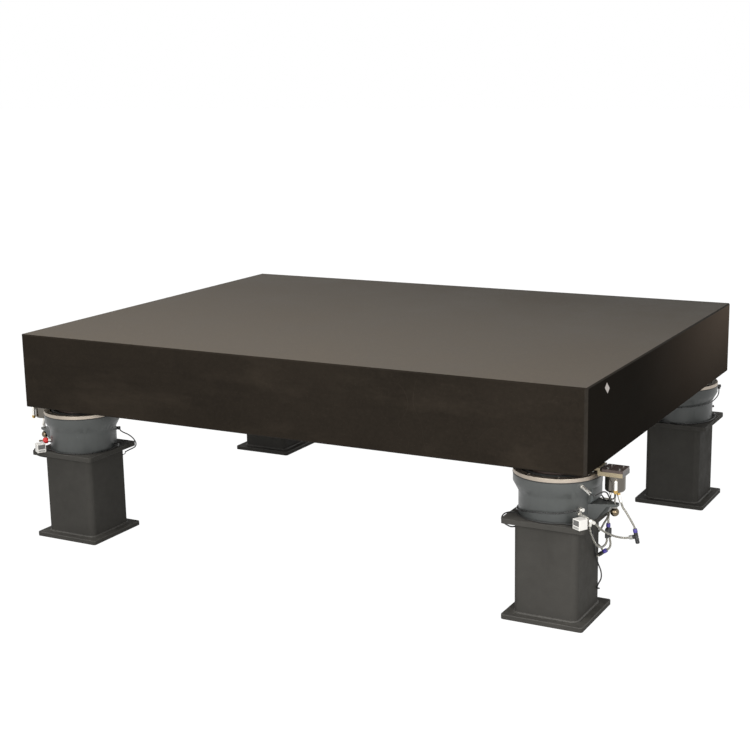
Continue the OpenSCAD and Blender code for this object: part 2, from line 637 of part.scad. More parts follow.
module valve_screws() color([0.3, 0.3, 0.3]) for (leg = VALVE_LEGS) facing_out(leg) {
    hanger_screw_places(isolator_height - hanger_plate) mirror([0, 0, 1]) socket_screw(hanger_plate + 20);
    head_screw_places(hanger_drop + hanger_flange + valve_head_thickness) union() {
        cylinder(r = m5_head_radius, h = m5_head);
        translate([0, 0, -head_screw_length]) cylinder(r = m5_radius, h = head_screw_length + 1);
    }
}

module sensing_pins() color([0.85, 0.85, 0.85]) for (leg = VALVE_LEGS) facing_out(leg)
    translate([valve_reach, 0, bracket_height + slip])
        cylinder(r = pin_radius, h = valve_bottom + 22 - bracket_height - slip);

// Bracket beside the isolator that carries the adjusting screw
module bracket_outline(inset) polygon([
    [100, -42 + inset], [bracket_toe - 1, -30 + inset], [bracket_tip - 4, -11 + inset/2],
    [bracket_tip, -7 + inset/2], [bracket_tip, 7 - inset/2], [bracket_tip - 4, 11 - inset/2],
    [bracket_toe - 1, 30 - inset], [100, 42 - inset]]);

module bracket_side(points, width)
    rotate([90, 0, 0]) linear_extrude(width, center = true) polygon(points);

module bracket_ribs() bracket_side([
    [105, 0], [bracket_toe + 3, 0], [valve_reach - 17, bracket_height/2 - 1],
    [valve_reach - 9, bracket_height - bracket_plate + 1],
    [105, bracket_height - bracket_plate + 1]], bracket_rib);

module valve_bracket(leg) color([0.34, 0.37, 0.39]) facing_out(leg) difference() {
    union() {
        intersection() {
            linear_extrude(bracket_height) bracket_outline(0);
            bracket_side([
                [100, 0], [bracket_toe, 0], [valve_reach - 17, bracket_height - bracket_plate],
                [bracket_tip + 1, bracket_height - bracket_plate], [bracket_tip + 1, bracket_height],
                [100, bracket_height]], 100);
            difference() {
                translate([90, -50, 0]) cube([110, 100, bracket_height]);
                translate([0, 0, -1]) linear_extrude(bracket_height - bracket_plate + 1)
                    bracket_outline(bracket_cheek);
            }
        }
        bracket_ribs();
    }
    translate([0, 0, -1]) cylinder(r = pot_radius + fit, h = bracket_height + 2);
    translate([valve_reach, 0, -1]) cylinder(r = stud_radius + fit, h = bracket_height + 2);
}

module lock_nuts() color([0.75, 0.75, 0.73]) for (leg = VALVE_LEGS) facing_out(leg)
    translate([valve_reach, 0, bracket_height - bracket_plate - lock_nut_height]) difference() {
        cylinder(r = nut_flats_radius, h = lock_nut_height, $fn = 6);
        translate([0, 0, -1]) cylinder(r = stud_radius + fit, h = lock_nut_height + 2);
    }

module height_knob(leg) color([0.62, 0.52, 0.36]) facing_out(leg) translate([valve_reach, 0, 0]) union() {
    intersection() {
        translate([0, 0, knob_centre]) sphere(r = knob_radius);
        translate([0, 0, knob_flat - 40]) cylinder(r = knob_radius + 1, h = 40);
    }
    translate([0, 0, knob_flat - 3]) cylinder(r = stud_radius, h = bracket_height - knob_flat + 3);
}

// Fittings screwed into the pots
module fitting(f, diameter) difference() {
    union() {
        rod(f[0] - f[1]*8, f[0] + f[1], m8_radius);
        aim(f[0], f[0] + f[1]) cylinder(r = fitting_radius + 0.8, h = 5, $fn = 6);
        if (f[1] == f[3]) rod(f[0] + f[1]*4, fit_mouth(f), fitting_radius - 0.7);
        else {
            rod(f[0] + f[1]*4, fit_centre(f) + f[1]*6, fitting_radius);
            rod(fit_centre(f), fit_mouth(f), fitting_radius - 0.5);
        }
    }
    rod(fit_seat(f), fit_mouth(f) + f[3], diameter/2 + slip);
}

module twin_fitting() {
    way = unit(twin_hub - twin_root);
    difference() {
        union() {
            rod(twin_root - way*8, twin_root + way, m8_radius);
            aim(twin_root, twin_hub) cylinder(r = fitting_radius + 0.8, h = 8, $fn = 6);
            rod(twin_root + way*7, twin_hub, fitting_radius - 1);
            rod(twin_root + way*26, twin_root + way*44, fitting_radius + 0.3);
            ball(twin_hub, fitting_radius + 1);
            rod(twin_hub, twin_branch, fitting_radius - 0.2);
            rod(twin_hub, twin_loop, fitting_radius - 0.1);
        }
        for (mouth = [twin_branch, twin_loop])
            rod(into(mouth, twin_hub)[1], mouth + unit(mouth - twin_hub), clear_tube/2 + slip);
    }
}

module bleed_body() difference() {
    union() {
        rod(bleed_root - radial(bleed_az)*8, bleed_root + radial(bleed_az), m8_radius);
        rod(bleed_root, bleed_root + radial(bleed_az)*bleed_collar, 6.5);
    }
    rod(bleed_root + radial(bleed_az)*2, bleed_root + radial(bleed_az)*(bleed_collar + 1), 3 + fit);
}

module plug_fitting(f) {
    rod(f[0] - f[1]*8, f[0] + f[1], m8_radius);
    aim(f[0], f[0] + f[1]) cylinder(r = fitting_radius + 0.8, h = 6, $fn = 6);
    rod(f[0] + f[1]*5, fit_mouth(f), fitting_radius - 1.5);
}

module pot_fittings() color([0.75, 0.74, 0.7]) {
    on_head(FR) {
        for (f = FR_FITTINGS) fitting(f, (f == fr_feed || f == fr_return) ? clear_tube : black_tube);
        twin_fitting();
    }
    on_head(FL) {
        for (f = FL_FITTINGS) fitting(f, black_tube);
        fitting(fl_leg, black_tube);
        bleed_body();
    }
    on_head(BR) {
        for (f = BR_FITTINGS) fitting(f, black_tube);
        plug_fitting(br_plug);
    }
    on_head(BL) for (f = BL_FITTINGS) fitting(f, black_tube);
}

module bleed_knob_fl() color([0.85, 0.12, 0.12]) on_head(FL) {
    start = bleed_root + radial(bleed_az)*(bleed_collar + slip);
    way = radial(bleed_az);
    aim(start, start + way) cylinder(r1 = 9.5, r2 = 4.5, h = 15, $fn = 8);
    rod(start + way*14, start + way*31, 3.5);
    rod(start - way*6, start + way, 3);
}

// Pressure switches on the front head plates
module at_switch(leg, place, turn) on_head(leg)
    translate([place.x, place.y, switch_side/2]) rotate(turn) children();
module at_both_switches() {
    at_switch(FR, switch_fr, switch_fr_turn) children();
    at_switch(FL, switch_fl, switch_fl_turn) children();
}
module front_box(width, height, z, depth, deep)
    translate([-width/2, -switch_side/2 - depth + deep, z - height/2]) cube([width, depth, height]);

module switch_body() intersection() {
    linear_extrude(switch_side, center = true) round_square(switch_side, switch_corner);
    rotate([90, 0, 0]) linear_extrude(switch_side, center = true) round_square(switch_side, switch_corner);
    rotate([0, 90, 0]) linear_extrude(switch_side, center = true) round_square(switch_side, switch_corner);
}

module switch_cases() color([0.92, 0.9, 0.87]) difference() {
    at_both_switches() difference() {
        switch_body();
        front_box(display_width + 2*slip, display_height + 2*slip, window_z, window_depth + 1, window_depth);
        front_box(keypad_width + 2*fit, keypad_height + 2*fit, keypad_z, keypad_depth + 1, keypad_depth);
    }
    on_head(FR) cable_hole(switch_fr, fr_exit_az);
    on_head(FL) cable_hole(switch_fl, fl_exit_az);
    on_head(FL) cable_hole(switch_fl, fl_port_az);
}

module cable_hole(centre, az)
    rod(face_point(centre, az, -exit_depth, exit_z), face_point(centre, az, 1, exit_z), black_tube/2 + slip);

module switch_displays() color([0.5, 0.52, 0.52]) at_both_switches()
    front_box(display_width, display_height, window_z, window_depth, window_depth);

module keypad(leg, place, turn) color([0.7, 0.7, 0.7]) at_switch(leg, place, turn) union() {
    front_box(keypad_width, keypad_height, keypad_z, keypad_base, keypad_base);
    for (i = [0:key_count - 1])
        translate([(i - (key_count - 1)/2)*keypad_width/key_count, 0, 0])
            front_box(5.5, 3.4, keypad_z, keypad_proud + 0.5, 0.5);
}

// Tee and unions of the front right pedestal
module tee_fr() color([0.05, 0.05, 0.05]) on_head(FR) difference() {
    union() {
        rod(back_from(tee_top, tee_centre), tee_centre, fitting_radius);
        rod(tee_low, tee_centre, fitting_radius);
        rod(back_from(tee_side, tee_centre), tee_centre, fitting_radius - 0.3);
        ball(tee_centre, fitting_radius + 0.4);
    }
    for (mouth = [tee_top, tee_low, tee_side])
        rod(into(mouth, tee_centre)[1], mouth + unit(mouth - tee_centre), clear_tube/2 + slip);
}

function back_from(mouth, centre) = mouth + unit(centre - mouth)*collar_length;

module y_union() difference() {
    union() {
        rod([y_top.x, y_top.y, y_split], back_from(y_top, [y_top.x, y_top.y, y_split]), fitting_radius);
        for (mouth = [y_left, y_right]) rod(mouth, [mouth.x, mouth.y, y_split + 5], fitting_radius - 0.2);
        translate([(y_left.x + y_right.x)/2, (y_left.y + y_right.y)/2, y_split])
            rotate(atan2(y_right.y - y_left.y, y_right.x - y_left.x))
                cube([norm(y_right - y_left), 2*fitting_radius - 2, 14], center = true);
    }
    for (mouth = [y_top, y_left, y_right])
        rod(into(mouth, [mouth.x, mouth.y, y_split])[1],
            mouth + unit(mouth - [mouth.x, mouth.y, y_split]), clear_tube/2 + slip);
}

module straight_union() difference() {
    union() {
        rod(back_from(union_top, union_low), union_low, fitting_radius);
        rod(union_top*0.35 + union_low*0.65, union_top*0.25 + union_low*0.75, fitting_radius + 0.8);
    }
    rod(into(union_top, union_low)[1], union_top, clear_tube/2 + slip);
    rod(into(union_low, union_top)[1], union_low + unit(union_low - union_top), clear_tube/2 + slip);
}

module tube_unions_fr() color([0.05, 0.05, 0.05]) on_head(FR) {
    y_union();
    straight_union();
}

module release_collar(mouth, centre) difference() {
    rod(mouth, back_from(mouth, centre), collar_radius);
    rod(mouth + unit(mouth - centre), back_from(mouth, centre) + unit(centre - mouth), clear_tube/2 + slip);
}

module release_collars() color([0.32, 0.25, 0.62]) on_head(FR) {
    release_collar(tee_top, tee_centre);
    release_collar(tee_side, tee_centre);
    release_collar(y_top, [y_top.x, y_top.y, y_split]);
    release_collar(union_top, union_low);
}

module cable_plug(x, way) difference() {
    union() {
        rod([x, plug_y, plug_z], [x + way*plug_length, plug_y, plug_z], plug_radius - 1.5);
        rod([x + way*16, plug_y, plug_z], [x + way*27, plug_y, plug_z], plug_radius);
    }
    rod([x - way, plug_y, plug_z], [x + way*insert_depth, plug_y, plug_z], black_tube/2 + slip);
}

module cable_plugs() color([0.1, 0.1, 0.1]) {
    on_head(FR) cable_plug(fr_plug_x, -1);
    on_head(FL) cable_plug(fl_plug_x, 1);
}

// Tubes and cables
module clear_tubes_fr() on_head(FR) {
    clear_cord(valve_tube_route);
    clear_cord(branch_tube_route);
    clear_cord(feed_tube_route);
    clear_cord(loop_tube_route);
    clear_cord(drop_tube_route);
    clear_cord(return_tube_route);
}

module black_tubes_fr() on_head(FR) {
    black_cord(output_tube_route);
    black_cord(slave_tube_route);
    black_cord(round_tube_route);
}

module cable_fr() on_head(FR) black_cord(cable_fr_route);

module tubes_fl() on_head(FL) {
    black_cord(loop_fl_route);
    black_cord(foot_fl_route);
}

module cable_fl() on_head(FL) black_cord(cable_fl_route);

module tubes_br() on_head(BR) {
    black_cord(loop_br_route);
    black_cord(foot_br_route);
}

granite_slab();
base_plate(FL);  // base_plate_fl
base_plate(FR);  // base_plate_fr
base_plate(BL);  // base_plate_bl
base_plate(BR);  // base_plate_br
leg_tube(FL);  // leg_tube_fl
leg_tube(FR);  // leg_tube_fr
leg_tube(BL);  // leg_tube_bl
leg_tube(BR);  // leg_tube_br
head_plate(FL);  // head_plate_fl
head_plate(FR);  // head_plate_fr
head_plate(BL);  // head_plate_bl
head_plate(BR);  // head_plate_br
isolator_pot(FL, FL_PORTS);  // isolator_pot_fl
isolator_pot(FR, FR_PORTS);  // isolator_pot_fr
isolator_pot(BL, BL_PORTS);  // isolator_pot_bl
isolator_pot(BR, BR_PORTS);  // isolator_pot_br
clamp_ring(FL);  // clamp_ring_fl
clamp_ring(FR);  // clamp_ring_fr
clamp_ring(BL);  // clamp_ring_bl
clamp_ring(BR);  // clamp_ring_br
piston(FL);  // piston_fl
piston(FR);  // piston_fr
piston(BL);  // piston_bl
piston(BR);  // piston_br
isolator_screws();
damping_plates();
stop_rings();
diaphragms();
piston_retainers();
load_pads();
hanger_bars();
valve_heads();
valve_cylinders();
valve_ports();
valve_screws();
sensing_pins();
valve_bracket(FL);  // valve_bracket_fl
valve_bracket(FR);  // valve_bracket_fr
valve_bracket(BL);  // valve_bracket_bl
lock_nuts();
height_knob(FL);  // height_knob_fl
height_knob(FR);  // height_knob_fr
height_knob(BL);  // height_knob_bl
pot_fittings();
bleed_knob_fl();
switch_cases();
switch_displays();
keypad(FL, switch_fl, switch_fl_turn);  // keypad_fl
keypad(FR, switch_fr, switch_fr_turn);  // keypad_fr
tee_fr();
tube_unions_fr();
release_collars();
cable_plugs();
clear_tubes_fr();
black_tubes_fr();
cable_fr();
tubes_fl();
cable_fl();
tubes_br();
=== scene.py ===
import json
import math

import bmesh
import bpy
from mathutils import Matrix, Vector, noise


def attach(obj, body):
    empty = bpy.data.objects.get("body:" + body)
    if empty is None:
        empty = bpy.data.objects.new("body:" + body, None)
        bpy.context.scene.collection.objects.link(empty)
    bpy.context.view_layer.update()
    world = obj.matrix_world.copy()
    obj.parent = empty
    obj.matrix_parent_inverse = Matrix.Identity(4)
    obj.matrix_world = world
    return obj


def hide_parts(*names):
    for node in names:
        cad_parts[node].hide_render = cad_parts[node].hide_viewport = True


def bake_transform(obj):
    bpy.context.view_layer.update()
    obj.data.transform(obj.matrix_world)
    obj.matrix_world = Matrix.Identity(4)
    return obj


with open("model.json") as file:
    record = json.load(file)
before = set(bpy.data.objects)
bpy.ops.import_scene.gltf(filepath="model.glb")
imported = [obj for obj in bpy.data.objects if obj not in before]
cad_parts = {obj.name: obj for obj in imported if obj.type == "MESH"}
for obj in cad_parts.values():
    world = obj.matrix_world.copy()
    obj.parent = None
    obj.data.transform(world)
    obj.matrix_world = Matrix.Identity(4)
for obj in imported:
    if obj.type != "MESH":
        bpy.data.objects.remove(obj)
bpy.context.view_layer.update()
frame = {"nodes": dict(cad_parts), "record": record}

BODY_OF = {node: body for body, nodes in frame["record"]["behaviour"]["bodies"].items() for node in nodes}

# The table in metres
MM = 0.001
LEG_X = 0.867
LEG_Y = 0.617
HEAD_TOP = 0.305
PLATE = 0.015
LEG_HALF = 0.0975
LEG_CORNER = 0.02
CLEAR_TUBE = 0.006
BLACK_TUBE = 0.004
CLEAR_WALL = 0.001
SMALL_EDGE = 0.00035
LEGS = {"fl": (-1, -1), "fr": (1, -1), "bl": (-1, 1), "br": (1, 1)}
VALVE_LEGS = ("fl", "fr", "bl")

# An isolator in millimetres and degrees, from the middle of its head plate's top
POT_WALL = 110.5
FLANGE_SEAT = (126, 111)
ELBOW_REACH = 11
MOUTH_REACH = 10
TUBE_DEPTH = 6
SWITCH_HALF = 15
SWITCH_PORT_Z = 9
SWITCH_FR = (113, -119.5)
SWITCH_FL = (-84.5, -125.5)
SWITCH_FR_BACK = 150
SWITCH_FL_SIDE = 57.5
SWITCH_FL_BACK = 147.5
BLEED_AZ = 220
BLEED_Z = 28
TEE_TOP, TEE_LOW, TEE_SIDE, TEE_CENTRE = (230, 7, -24), (239, 7, -63), (217, 7, -48), (234.4, 7, -43)
Y_TOP, Y_LEFT, Y_RIGHT = (145, 26, -25), (143, 20, -64), (148, 31, -64)
UNION_TOP, UNION_LOW = (138, 30, -106), (117, 30, -122)
TWIN_BRANCH, TWIN_LOOP = (144, -91, 13), (134, -100, 7)
PLUG_Z = -283

# The camera, fitted to the photo
PHOTO_WIDTH = 750
FOCAL_PIXELS = 1417.875
SENSOR_WIDTH = 36
CAMERA_PLACE = (2.26829835, -4.29790042, 1.57565248)
CAMERA_YAW, CAMERA_PITCH, CAMERA_ROLL = -0.495752771, 0.216327532, -0.0176303939


# Places

def on_head(leg, point):
    """A point in millimetres from the middle of a head plate's top, in the frame of the table."""
    side_x, side_y = LEGS[leg]
    return Vector((side_x * LEG_X, side_y * LEG_Y, HEAD_TOP)) + Vector(point) * MM


def facing_out(leg, point):
    """As on_head, but mirrored as the valve group is, which points away from the middle."""
    side_x, side_y = LEGS[leg]
    x, y, z = point
    return on_head(leg, (x * side_x, y if side_y < 0 else -y, z))


def at_angle(az, r, z):
    """A point in millimetres round an isolator's middle."""
    return (r * math.cos(math.radians(az)), r * math.sin(math.radians(az)), z)


def unit(v):
    return Vector(v).normalized()


def radial(az):
    """Away from the isolator's middle at an angle."""
    return Vector((math.cos(math.radians(az)), math.sin(math.radians(az)), 0))


def clockwise(az):
    return Vector((math.sin(math.radians(az)), -math.cos(math.radians(az)), 0))


def aimed(az, tilt):
    level = math.cos(math.radians(tilt))
    return Vector((radial(az).x * level, radial(az).y * level, math.sin(math.radians(tilt))))


# Camera

def make_camera():
    yaw, pitch, roll = CAMERA_YAW, CAMERA_PITCH, CAMERA_ROLL
    forward = Vector((math.sin(yaw) * math.cos(pitch), math.cos(yaw) * math.cos(pitch), -math.sin(pitch)))
    level = Vector((math.cos(yaw), -math.sin(yaw), 0))
    upright = level.cross(forward)
    right = math.cos(roll) * level + math.sin(roll) * upright
    up = -math.sin(roll) * level + math.cos(roll) * upright
    data = bpy.data.cameras.new("photo_camera")
    data.sensor_width = SENSOR_WIDTH
    data.lens = SENSOR_WIDTH * FOCAL_PIXELS / PHOTO_WIDTH
    data.clip_end = 200
    camera = bpy.data.objects.new("photo_camera", data)
    turn = Matrix((right, up, -forward)).transposed().to_4x4()
    camera.matrix_world = Matrix.Translation(CAMERA_PLACE) @ turn
    bpy.context.collection.objects.link(camera)
    bpy.context.scene.camera = camera


# Routes of the cords, as in the part's source

def mouth_of(seat, way, reach, mouth_way):
    """Where a tube leaves a fitting, and its end inside, for a fitting screwed in at seat."""
    mouth = Vector(seat) + unit(way) * reach + unit(mouth_way) * MOUTH_REACH
    return [mouth, mouth - unit(mouth_way) * TUBE_DEPTH]


def into(mouth, centre):
    mouth, centre = Vector(mouth), Vector(centre)
    return [mouth, mouth + (centre - mouth).normalized() * TUBE_DEPTH]


def straight_fit(az, z, reach):
    return mouth_of(at_angle(az, POT_WALL, z), radial(az), reach, radial(az))


def elbow_fit(az, z, way):
    return mouth_of(at_angle(az, POT_WALL, z), radial(az), ELBOW_REACH, way)


def switch_face(centre, az, out):
    return Vector((*centre, SWITCH_PORT_Z)) + radial(az) * (SWITCH_HALF + out)


TWIN_HUB = at_angle(-37, 171, 21)
fr_output = mouth_of(at_angle(-38, *FLANGE_SEAT), aimed(-29, -19), 29, aimed(-29, -19))
fr_middle = elbow_fit(-35, 40, clockwise(-35))
fr_feed = straight_fit(28, 36, 16)
fr_return = straight_fit(44, 24, 16)
fr_rear = elbow_fit(72, 50, clockwise(72))
fr_side = elbow_fit(158, 14, -clockwise(158))
fl_loop = elbow_fit(50, 50, clockwise(50))
fl_foot = elbow_fit(15, 9, clockwise(15))
fl_leg = mouth_of((30, 96.5, -80), (0, 1, 0), 16, (0, 1, 0))
br_upper = mouth_of(at_angle(29, *FLANGE_SEAT), radial(29), ELBOW_REACH, (0, 0, -1))
br_side = elbow_fit(-135, 50, -clockwise(-135))
br_foot = elbow_fit(22, 9, clockwise(22))
br_foot_end = elbow_fit(-112, 9, -clockwise(-112))

ROUTES = {
    "valve_tube": ("fr", [
        (187, 9, 51), (188.3, 9, 47.2), (192, 9, 37), (201, 9, 25), (213, 8, 8), (223, 8, -8),
        (228, 7, -16), *into(TEE_TOP, TEE_CENTRE)]),
    "branch_tube": ("fr", [
        *into(TEE_SIDE, TEE_CENTRE)[::-1], (206, 5, -51), (190, -4, -49), (173, -26, -38),
        (159, -50, -22), (151, -71, -5), (147, -84, 6), *into(TWIN_BRANCH, TWIN_HUB)]),
    "feed_tube": ("fr", [
        *fr_feed[::-1], (128, 68, 36), (135, 69.5, 34.5), (140, 66, 31.5), (142.5, 59, 27), (143, 50, 19),
        (143, 39, 8), (144, 30, -5), (145, 26, -15), *into(Y_TOP, (145, 26, -50))]),
    "loop_tube": ("fr", [
        *into(Y_LEFT, (143, 20, -40))[::-1], (144, 19, -71), (143, 12, -80), (139, 0, -85),
        (135, -15, -82), (132, -35, -71), (130, -55, -50), (130, -76, -26), (132, -91, -10),
        (133, -97, -1), *into(TWIN_LOOP, TWIN_HUB)]),
    "drop_tube": ("fr", [
        *into(Y_RIGHT, (148, 31, -40))[::-1], (149, 31, -72), (151, 31, -84), (149, 31, -95),
        (144, 30, -101.5), *into(UNION_TOP, UNION_LOW)]),
    "return_tube": ("fr", [
        *into(UNION_LOW, UNION_TOP)[::-1], (111, 32, -127), (109, 41, -131), (109, 57, -135),
        (109, 77, -136), (105, 96, -133), (94, 110, -127), (78, 116, -118), (68, 113, -106),
        (70, 108, -96), (81, 103.5, -86), (95, 97, -72), (107, 81, -56), (120, 65, -35), (131, 56, -18),
        (134, 57, -6), (134, 67, 6), (131, 80, 13), (126, 92, 19), (119, 101, 22.5), (112, 104.5, 24),
        (105, 101.5, 24), *fr_return]),
    "output_tube": ("fr", [
        (185.34, -36.65, 88), (185.34, -36.65, 84), (184, -37.5, 78), (180, -39, 73.5), (174, -41, 73.5),
        (169, -43, 79), (167, -46, 86), (165, -51, 92.3), (161, -60, 97.3), (157, -71, 98.3),
        (154, -81, 97.3), (151, -88.5, 96.3), (147.5, -95, 95.3), (142.5, -98.8, 94.8),
        (137, -98.3, 96.3), *fr_output]),
    "slave_tube": ("fr", [
        (162, -10, 76), (162, -10, 69), (159, -9, 61), (152, -5, 54.5), (143, 5, 51), (134, 19, 50.5),
        (124, 36, 51), (112, 52, 52), (98, 68, 52), (82, 86, 51), (70, 101, 50), (58, 109, 50),
        *fr_rear]),
    "round_tube": ("fr", [
        *fr_middle[::-1], (87, -84, 39), (76, -90, 37), (60, -101, 34), (36, -111.5, 32), (10, -117, 31),
        (-18, -116, 29.5), (-45, -108.5, 26), (-70, -94.5, 21), (-92, -73, 15), (-107, -48, 9),
        (-116, -20, 6), (-119, 6, 8), (-119.5, 26, 13), *fr_side]),
    "switch_cable_fr": ("fr", [
        switch_face(SWITCH_FR, SWITCH_FR_BACK, -4), switch_face(SWITCH_FR, SWITCH_FR_BACK, 0),
        (93, -108, 7), (84, -104, 4), (72, -103, 2.6), (58, -102, 2.4), (24, -115, 2.4), (-12, -117, 2.4),
        (-48, -107, 2.4), (-79, -87, 2.4), (-94, -70.5, 2.4), (-102, -64, 2.4), (-110.5, -62, 2.4),
        (-118, -65.5, 2.4), (-124, -74, 2.5), (-128.5, -86, 2), (-131, -95, -2.5), (-131, -100, -10),
        (-126, -101, -19), (-117, -96, -27), (-109, -87, -34), (-103, -70, -38), (-101, -40, -38),
        (-101, 10, -36), (-101, 60, -34), (-99, 91, -31), (-88, 102, -29), (-60, 101.5, -27),
        (-20, 101, -26), (20, 101, -26), (60, 101.5, -25), (88, 101, -24), (100, 90, -24), (102, 70, -24),
        (102, 45, -24), (102, 24, -26), (102, 13, -33), (102, 12, -44), (101, 22, -62), (100.5, 34, -86),
        (100.5, 42, -110), (101, 50, -134), (106, 57, -160), (114, 60, -184), (114, 61, -206),
        (106, 60, -224), (101, 67, -237), (101, 84, -246), (95, 98, -252), (82, 107, -259),
        (66, 111, -269), (51, 111, -279), (43, 111, PLUG_Z), (36, 111, PLUG_Z), (30, 111, PLUG_Z)]),
    "loop_tube_fl": ("fl", [
        *fl_loop[::-1], (94, 80, 50), (104, 70, 50.5), (116, 62, 49), (130, 58, 46.5), (146, 57, 43),
        (161, 57, 36), (173, 57, 26), (179, 57, 14), (176, 57, 4), (166, 58, -3), (150, 60, -11),
        (134, 64, -19), (118, 74, -27), (103, 92, -36), (87, 108, -46), (70, 121, -54), (55, 133, -62),
        (43, 139.5, -69), (34, 139, -75), (30.5, 134, -79), (30, 128, -80), *fl_leg]),
    "foot_tube_fl": ("fl", [
        switch_face(SWITCH_FL, SWITCH_FL_SIDE, -4), switch_face(SWITCH_FL, SWITCH_FL_SIDE, 0),
        (-73, -108, 7), (-65, -105, 4), (-52, -106, 2.6), (-24, -115, 2.4), (12, -117, 2.4),
        (46, -108, 2.4), (76, -90, 2.4), (99, -64, 2.4), (113, -34, 2.4), (119, -8, 3), (122, 10, 7),
        *fl_foot]),
    "switch_cable_fl": ("fl", [
        switch_face(SWITCH_FL, SWITCH_FL_BACK, -4), switch_face(SWITCH_FL, SWITCH_FL_BACK, 0),
        (-103, -114, 7), (-110, -111, 4), (-118, -108, 2.6), (-126, -106, 2.4), (-131, -105, -3),
        (-132, -104, -12), (-126, -102, -20), (-115, -98, -25), (-106, -87, -30), (-101.5, -68, -36),
        (-101, -30, -48), (-101, 20, -64), (-101, 60, -84), (-99, 90, -110), (-90, 105, -140),
        (-76, 111, -176), (-66, 112, -215), (-56, 112, -250), (-44, 111, -275), (-32, 111, -282.5),
        (-24, 111, PLUG_Z), (-16, 111, PLUG_Z), (-10, 111, PLUG_Z)]),
    "loop_tube_br": ("br", [
        *br_upper[::-1], (120, 66, 94), (121, 60, 86), (121, 48, 79), (120, 32, 75), (119, 12, 72),
        (116, -22, 69.5), (103, -56, 67), (84, -82, 65.5), (58, -102, 63.5), (28, -114, 61),
        (-6, -117, 58), (-38, -111.5, 55), (-58, -104, 52), (-70, -101, 50.5), *br_side]),
    "foot_tube_br": ("br", [
        *br_foot[::-1], (120, 24, 6), (119, 6, 2.8), (116.5, -14, 2.4), (107, -48, 2.4), (87, -79, 2.4),
        (60, -101, 2.4), (28, -114, 2.4), (0, -118, 2.8), (-22, -121, 6), *br_foot_end]),
}

# CAD node, slot and stiffness, then the name, far end and lay of each cord
CORDS = [
    ("clear_tubes_fr", "clear_tube", "stiff", [
        ("valve_tube", "fitting", "hanging"), ("branch_tube", "object", "hanging"),
        ("feed_tube", "fitting", "hanging"), ("loop_tube", "object", "hanging"),
        ("drop_tube", "fitting", "hanging"), ("return_tube", "object", "hanging")]),
    ("black_tubes_fr", "black_tube", "stiff", [
        ("output_tube", "object", "hanging"), ("slave_tube", "object", "hanging"),
        ("round_tube", "object", "loose")]),
    ("cable_fr", "cable_jacket", "medium", [("switch_cable_fr", "connector", "loose")]),
    ("tubes_fl", "black_tube", "stiff", [
        ("loop_tube_fl", "object", "hanging"), ("foot_tube_fl", "object", "loose")]),
    ("cable_fl", "cable_jacket", "medium", [("switch_cable_fl", "connector", "loose")]),
    ("tubes_br", "black_tube", "stiff", [
        ("loop_tube_br", "object", "loose"), ("foot_tube_br", "object", "loose")]),
]

# The cords that go from the base to the floating top, with the ends of the bending stretch
BLEND_ENDS = {
    "valve_tube": (TEE_TOP, (187, 9, 51)),
    "output_tube": ((145, -93, 96), (183, -38, 80)),
    "slave_tube": ((98, 68, 52), (162, -10, 72)),
}


def rounded_route(points, steps=5):
    """The points of a smooth line through all the route's points."""
    line = [Vector(points[0])]
    for i in range(len(points) - 1):
        a, b = Vector(points[i]), Vector(points[i + 1])
        before = Vector(points[i - 1]) if i else a * 2 - b
        after = Vector(points[i + 2]) if i + 2 < len(points) else b * 2 - a
        span = (b - a).length
        leave = ((b - a) / span + (a - before) / max((a - before).length, 1e-9)).normalized() * span
        arrive = ((after - b) / max((after - b).length, 1e-9) + (b - a) / span).normalized() * span
        for k in range(1, steps + 1):
            t = k / steps
            line.append((2 * t**3 - 3 * t**2 + 1) * a + (t**3 - 2 * t**2 + t) * leave
                        + (3 * t**2 - 2 * t**3) * b + (t**3 - t**2) * arrive)
    return line


# Nodes

def add_node(tree, kind, inputs=None, **settings):
    """A new shader node with its settings and its inputs, each a number, a colour, a vector or a link."""
    node = tree.nodes.new("ShaderNode" + kind)
    for key, value in settings.items():
        setattr(node, key, value)
    for key, value in (inputs or {}).items():
        feed(tree, node.inputs[key], value)
    return node.outputs


def feed(tree, socket, value):
    if isinstance(value, bpy.types.NodeSocket):
        tree.links.new(value, socket)
    elif isinstance(value, tuple) and socket.type == "RGBA":
        socket.default_value = (*value, 1.0)
    elif value is not None:
        socket.default_value = value


def add_noise(tree, vector, scale, detail=3.0, roughness=0.55, stretch=None):
    if stretch:
        vector = add_node(tree, "Mapping", {"Scale": stretch, "Vector": vector})["Vector"]
    inputs = {"Detail": detail, "Roughness": roughness, "Vector": vector, "Scale": scale}
    return add_node(tree, "TexNoise", inputs)["Fac"]


def add_range(tree, value, low, high, to_low=0.0, to_high=1.0):
    inputs = {"From Min": low, "From Max": high, "To Min": to_low, "To Max": to_high, "Value": value}
    return add_node(tree, "MapRange", inputs)["Result"]


def add_math(tree, operation, a, b=None):
    return add_node(tree, "Math", {0: a, 1: b}, operation=operation)["Value"]


def add_vector(tree, operation, a, b=None, c=None):
    return add_node(tree, "VectorMath", {0: a, 1: b, 2: c}, operation=operation)


def node_group(name, numbers, output, vectors=("Vector",)):
    """A group with vector inputs, number inputs and their values, and one number as its output."""
    group = bpy.data.node_groups.new(name, "ShaderNodeTree")
    for title in vectors:
        group.interface.new_socket(name=title, in_out="INPUT", socket_type="NodeSocketVector")
    for title, value in numbers.items():
        socket = group.interface.new_socket(name=title, in_out="INPUT", socket_type="NodeSocketFloat")
        socket.default_value = value
    group.interface.new_socket(name=output, in_out="OUTPUT", socket_type="NodeSocketFloat")
    return group, group.nodes.new("NodeGroupInput").outputs, group.nodes.new("NodeGroupOutput").inputs


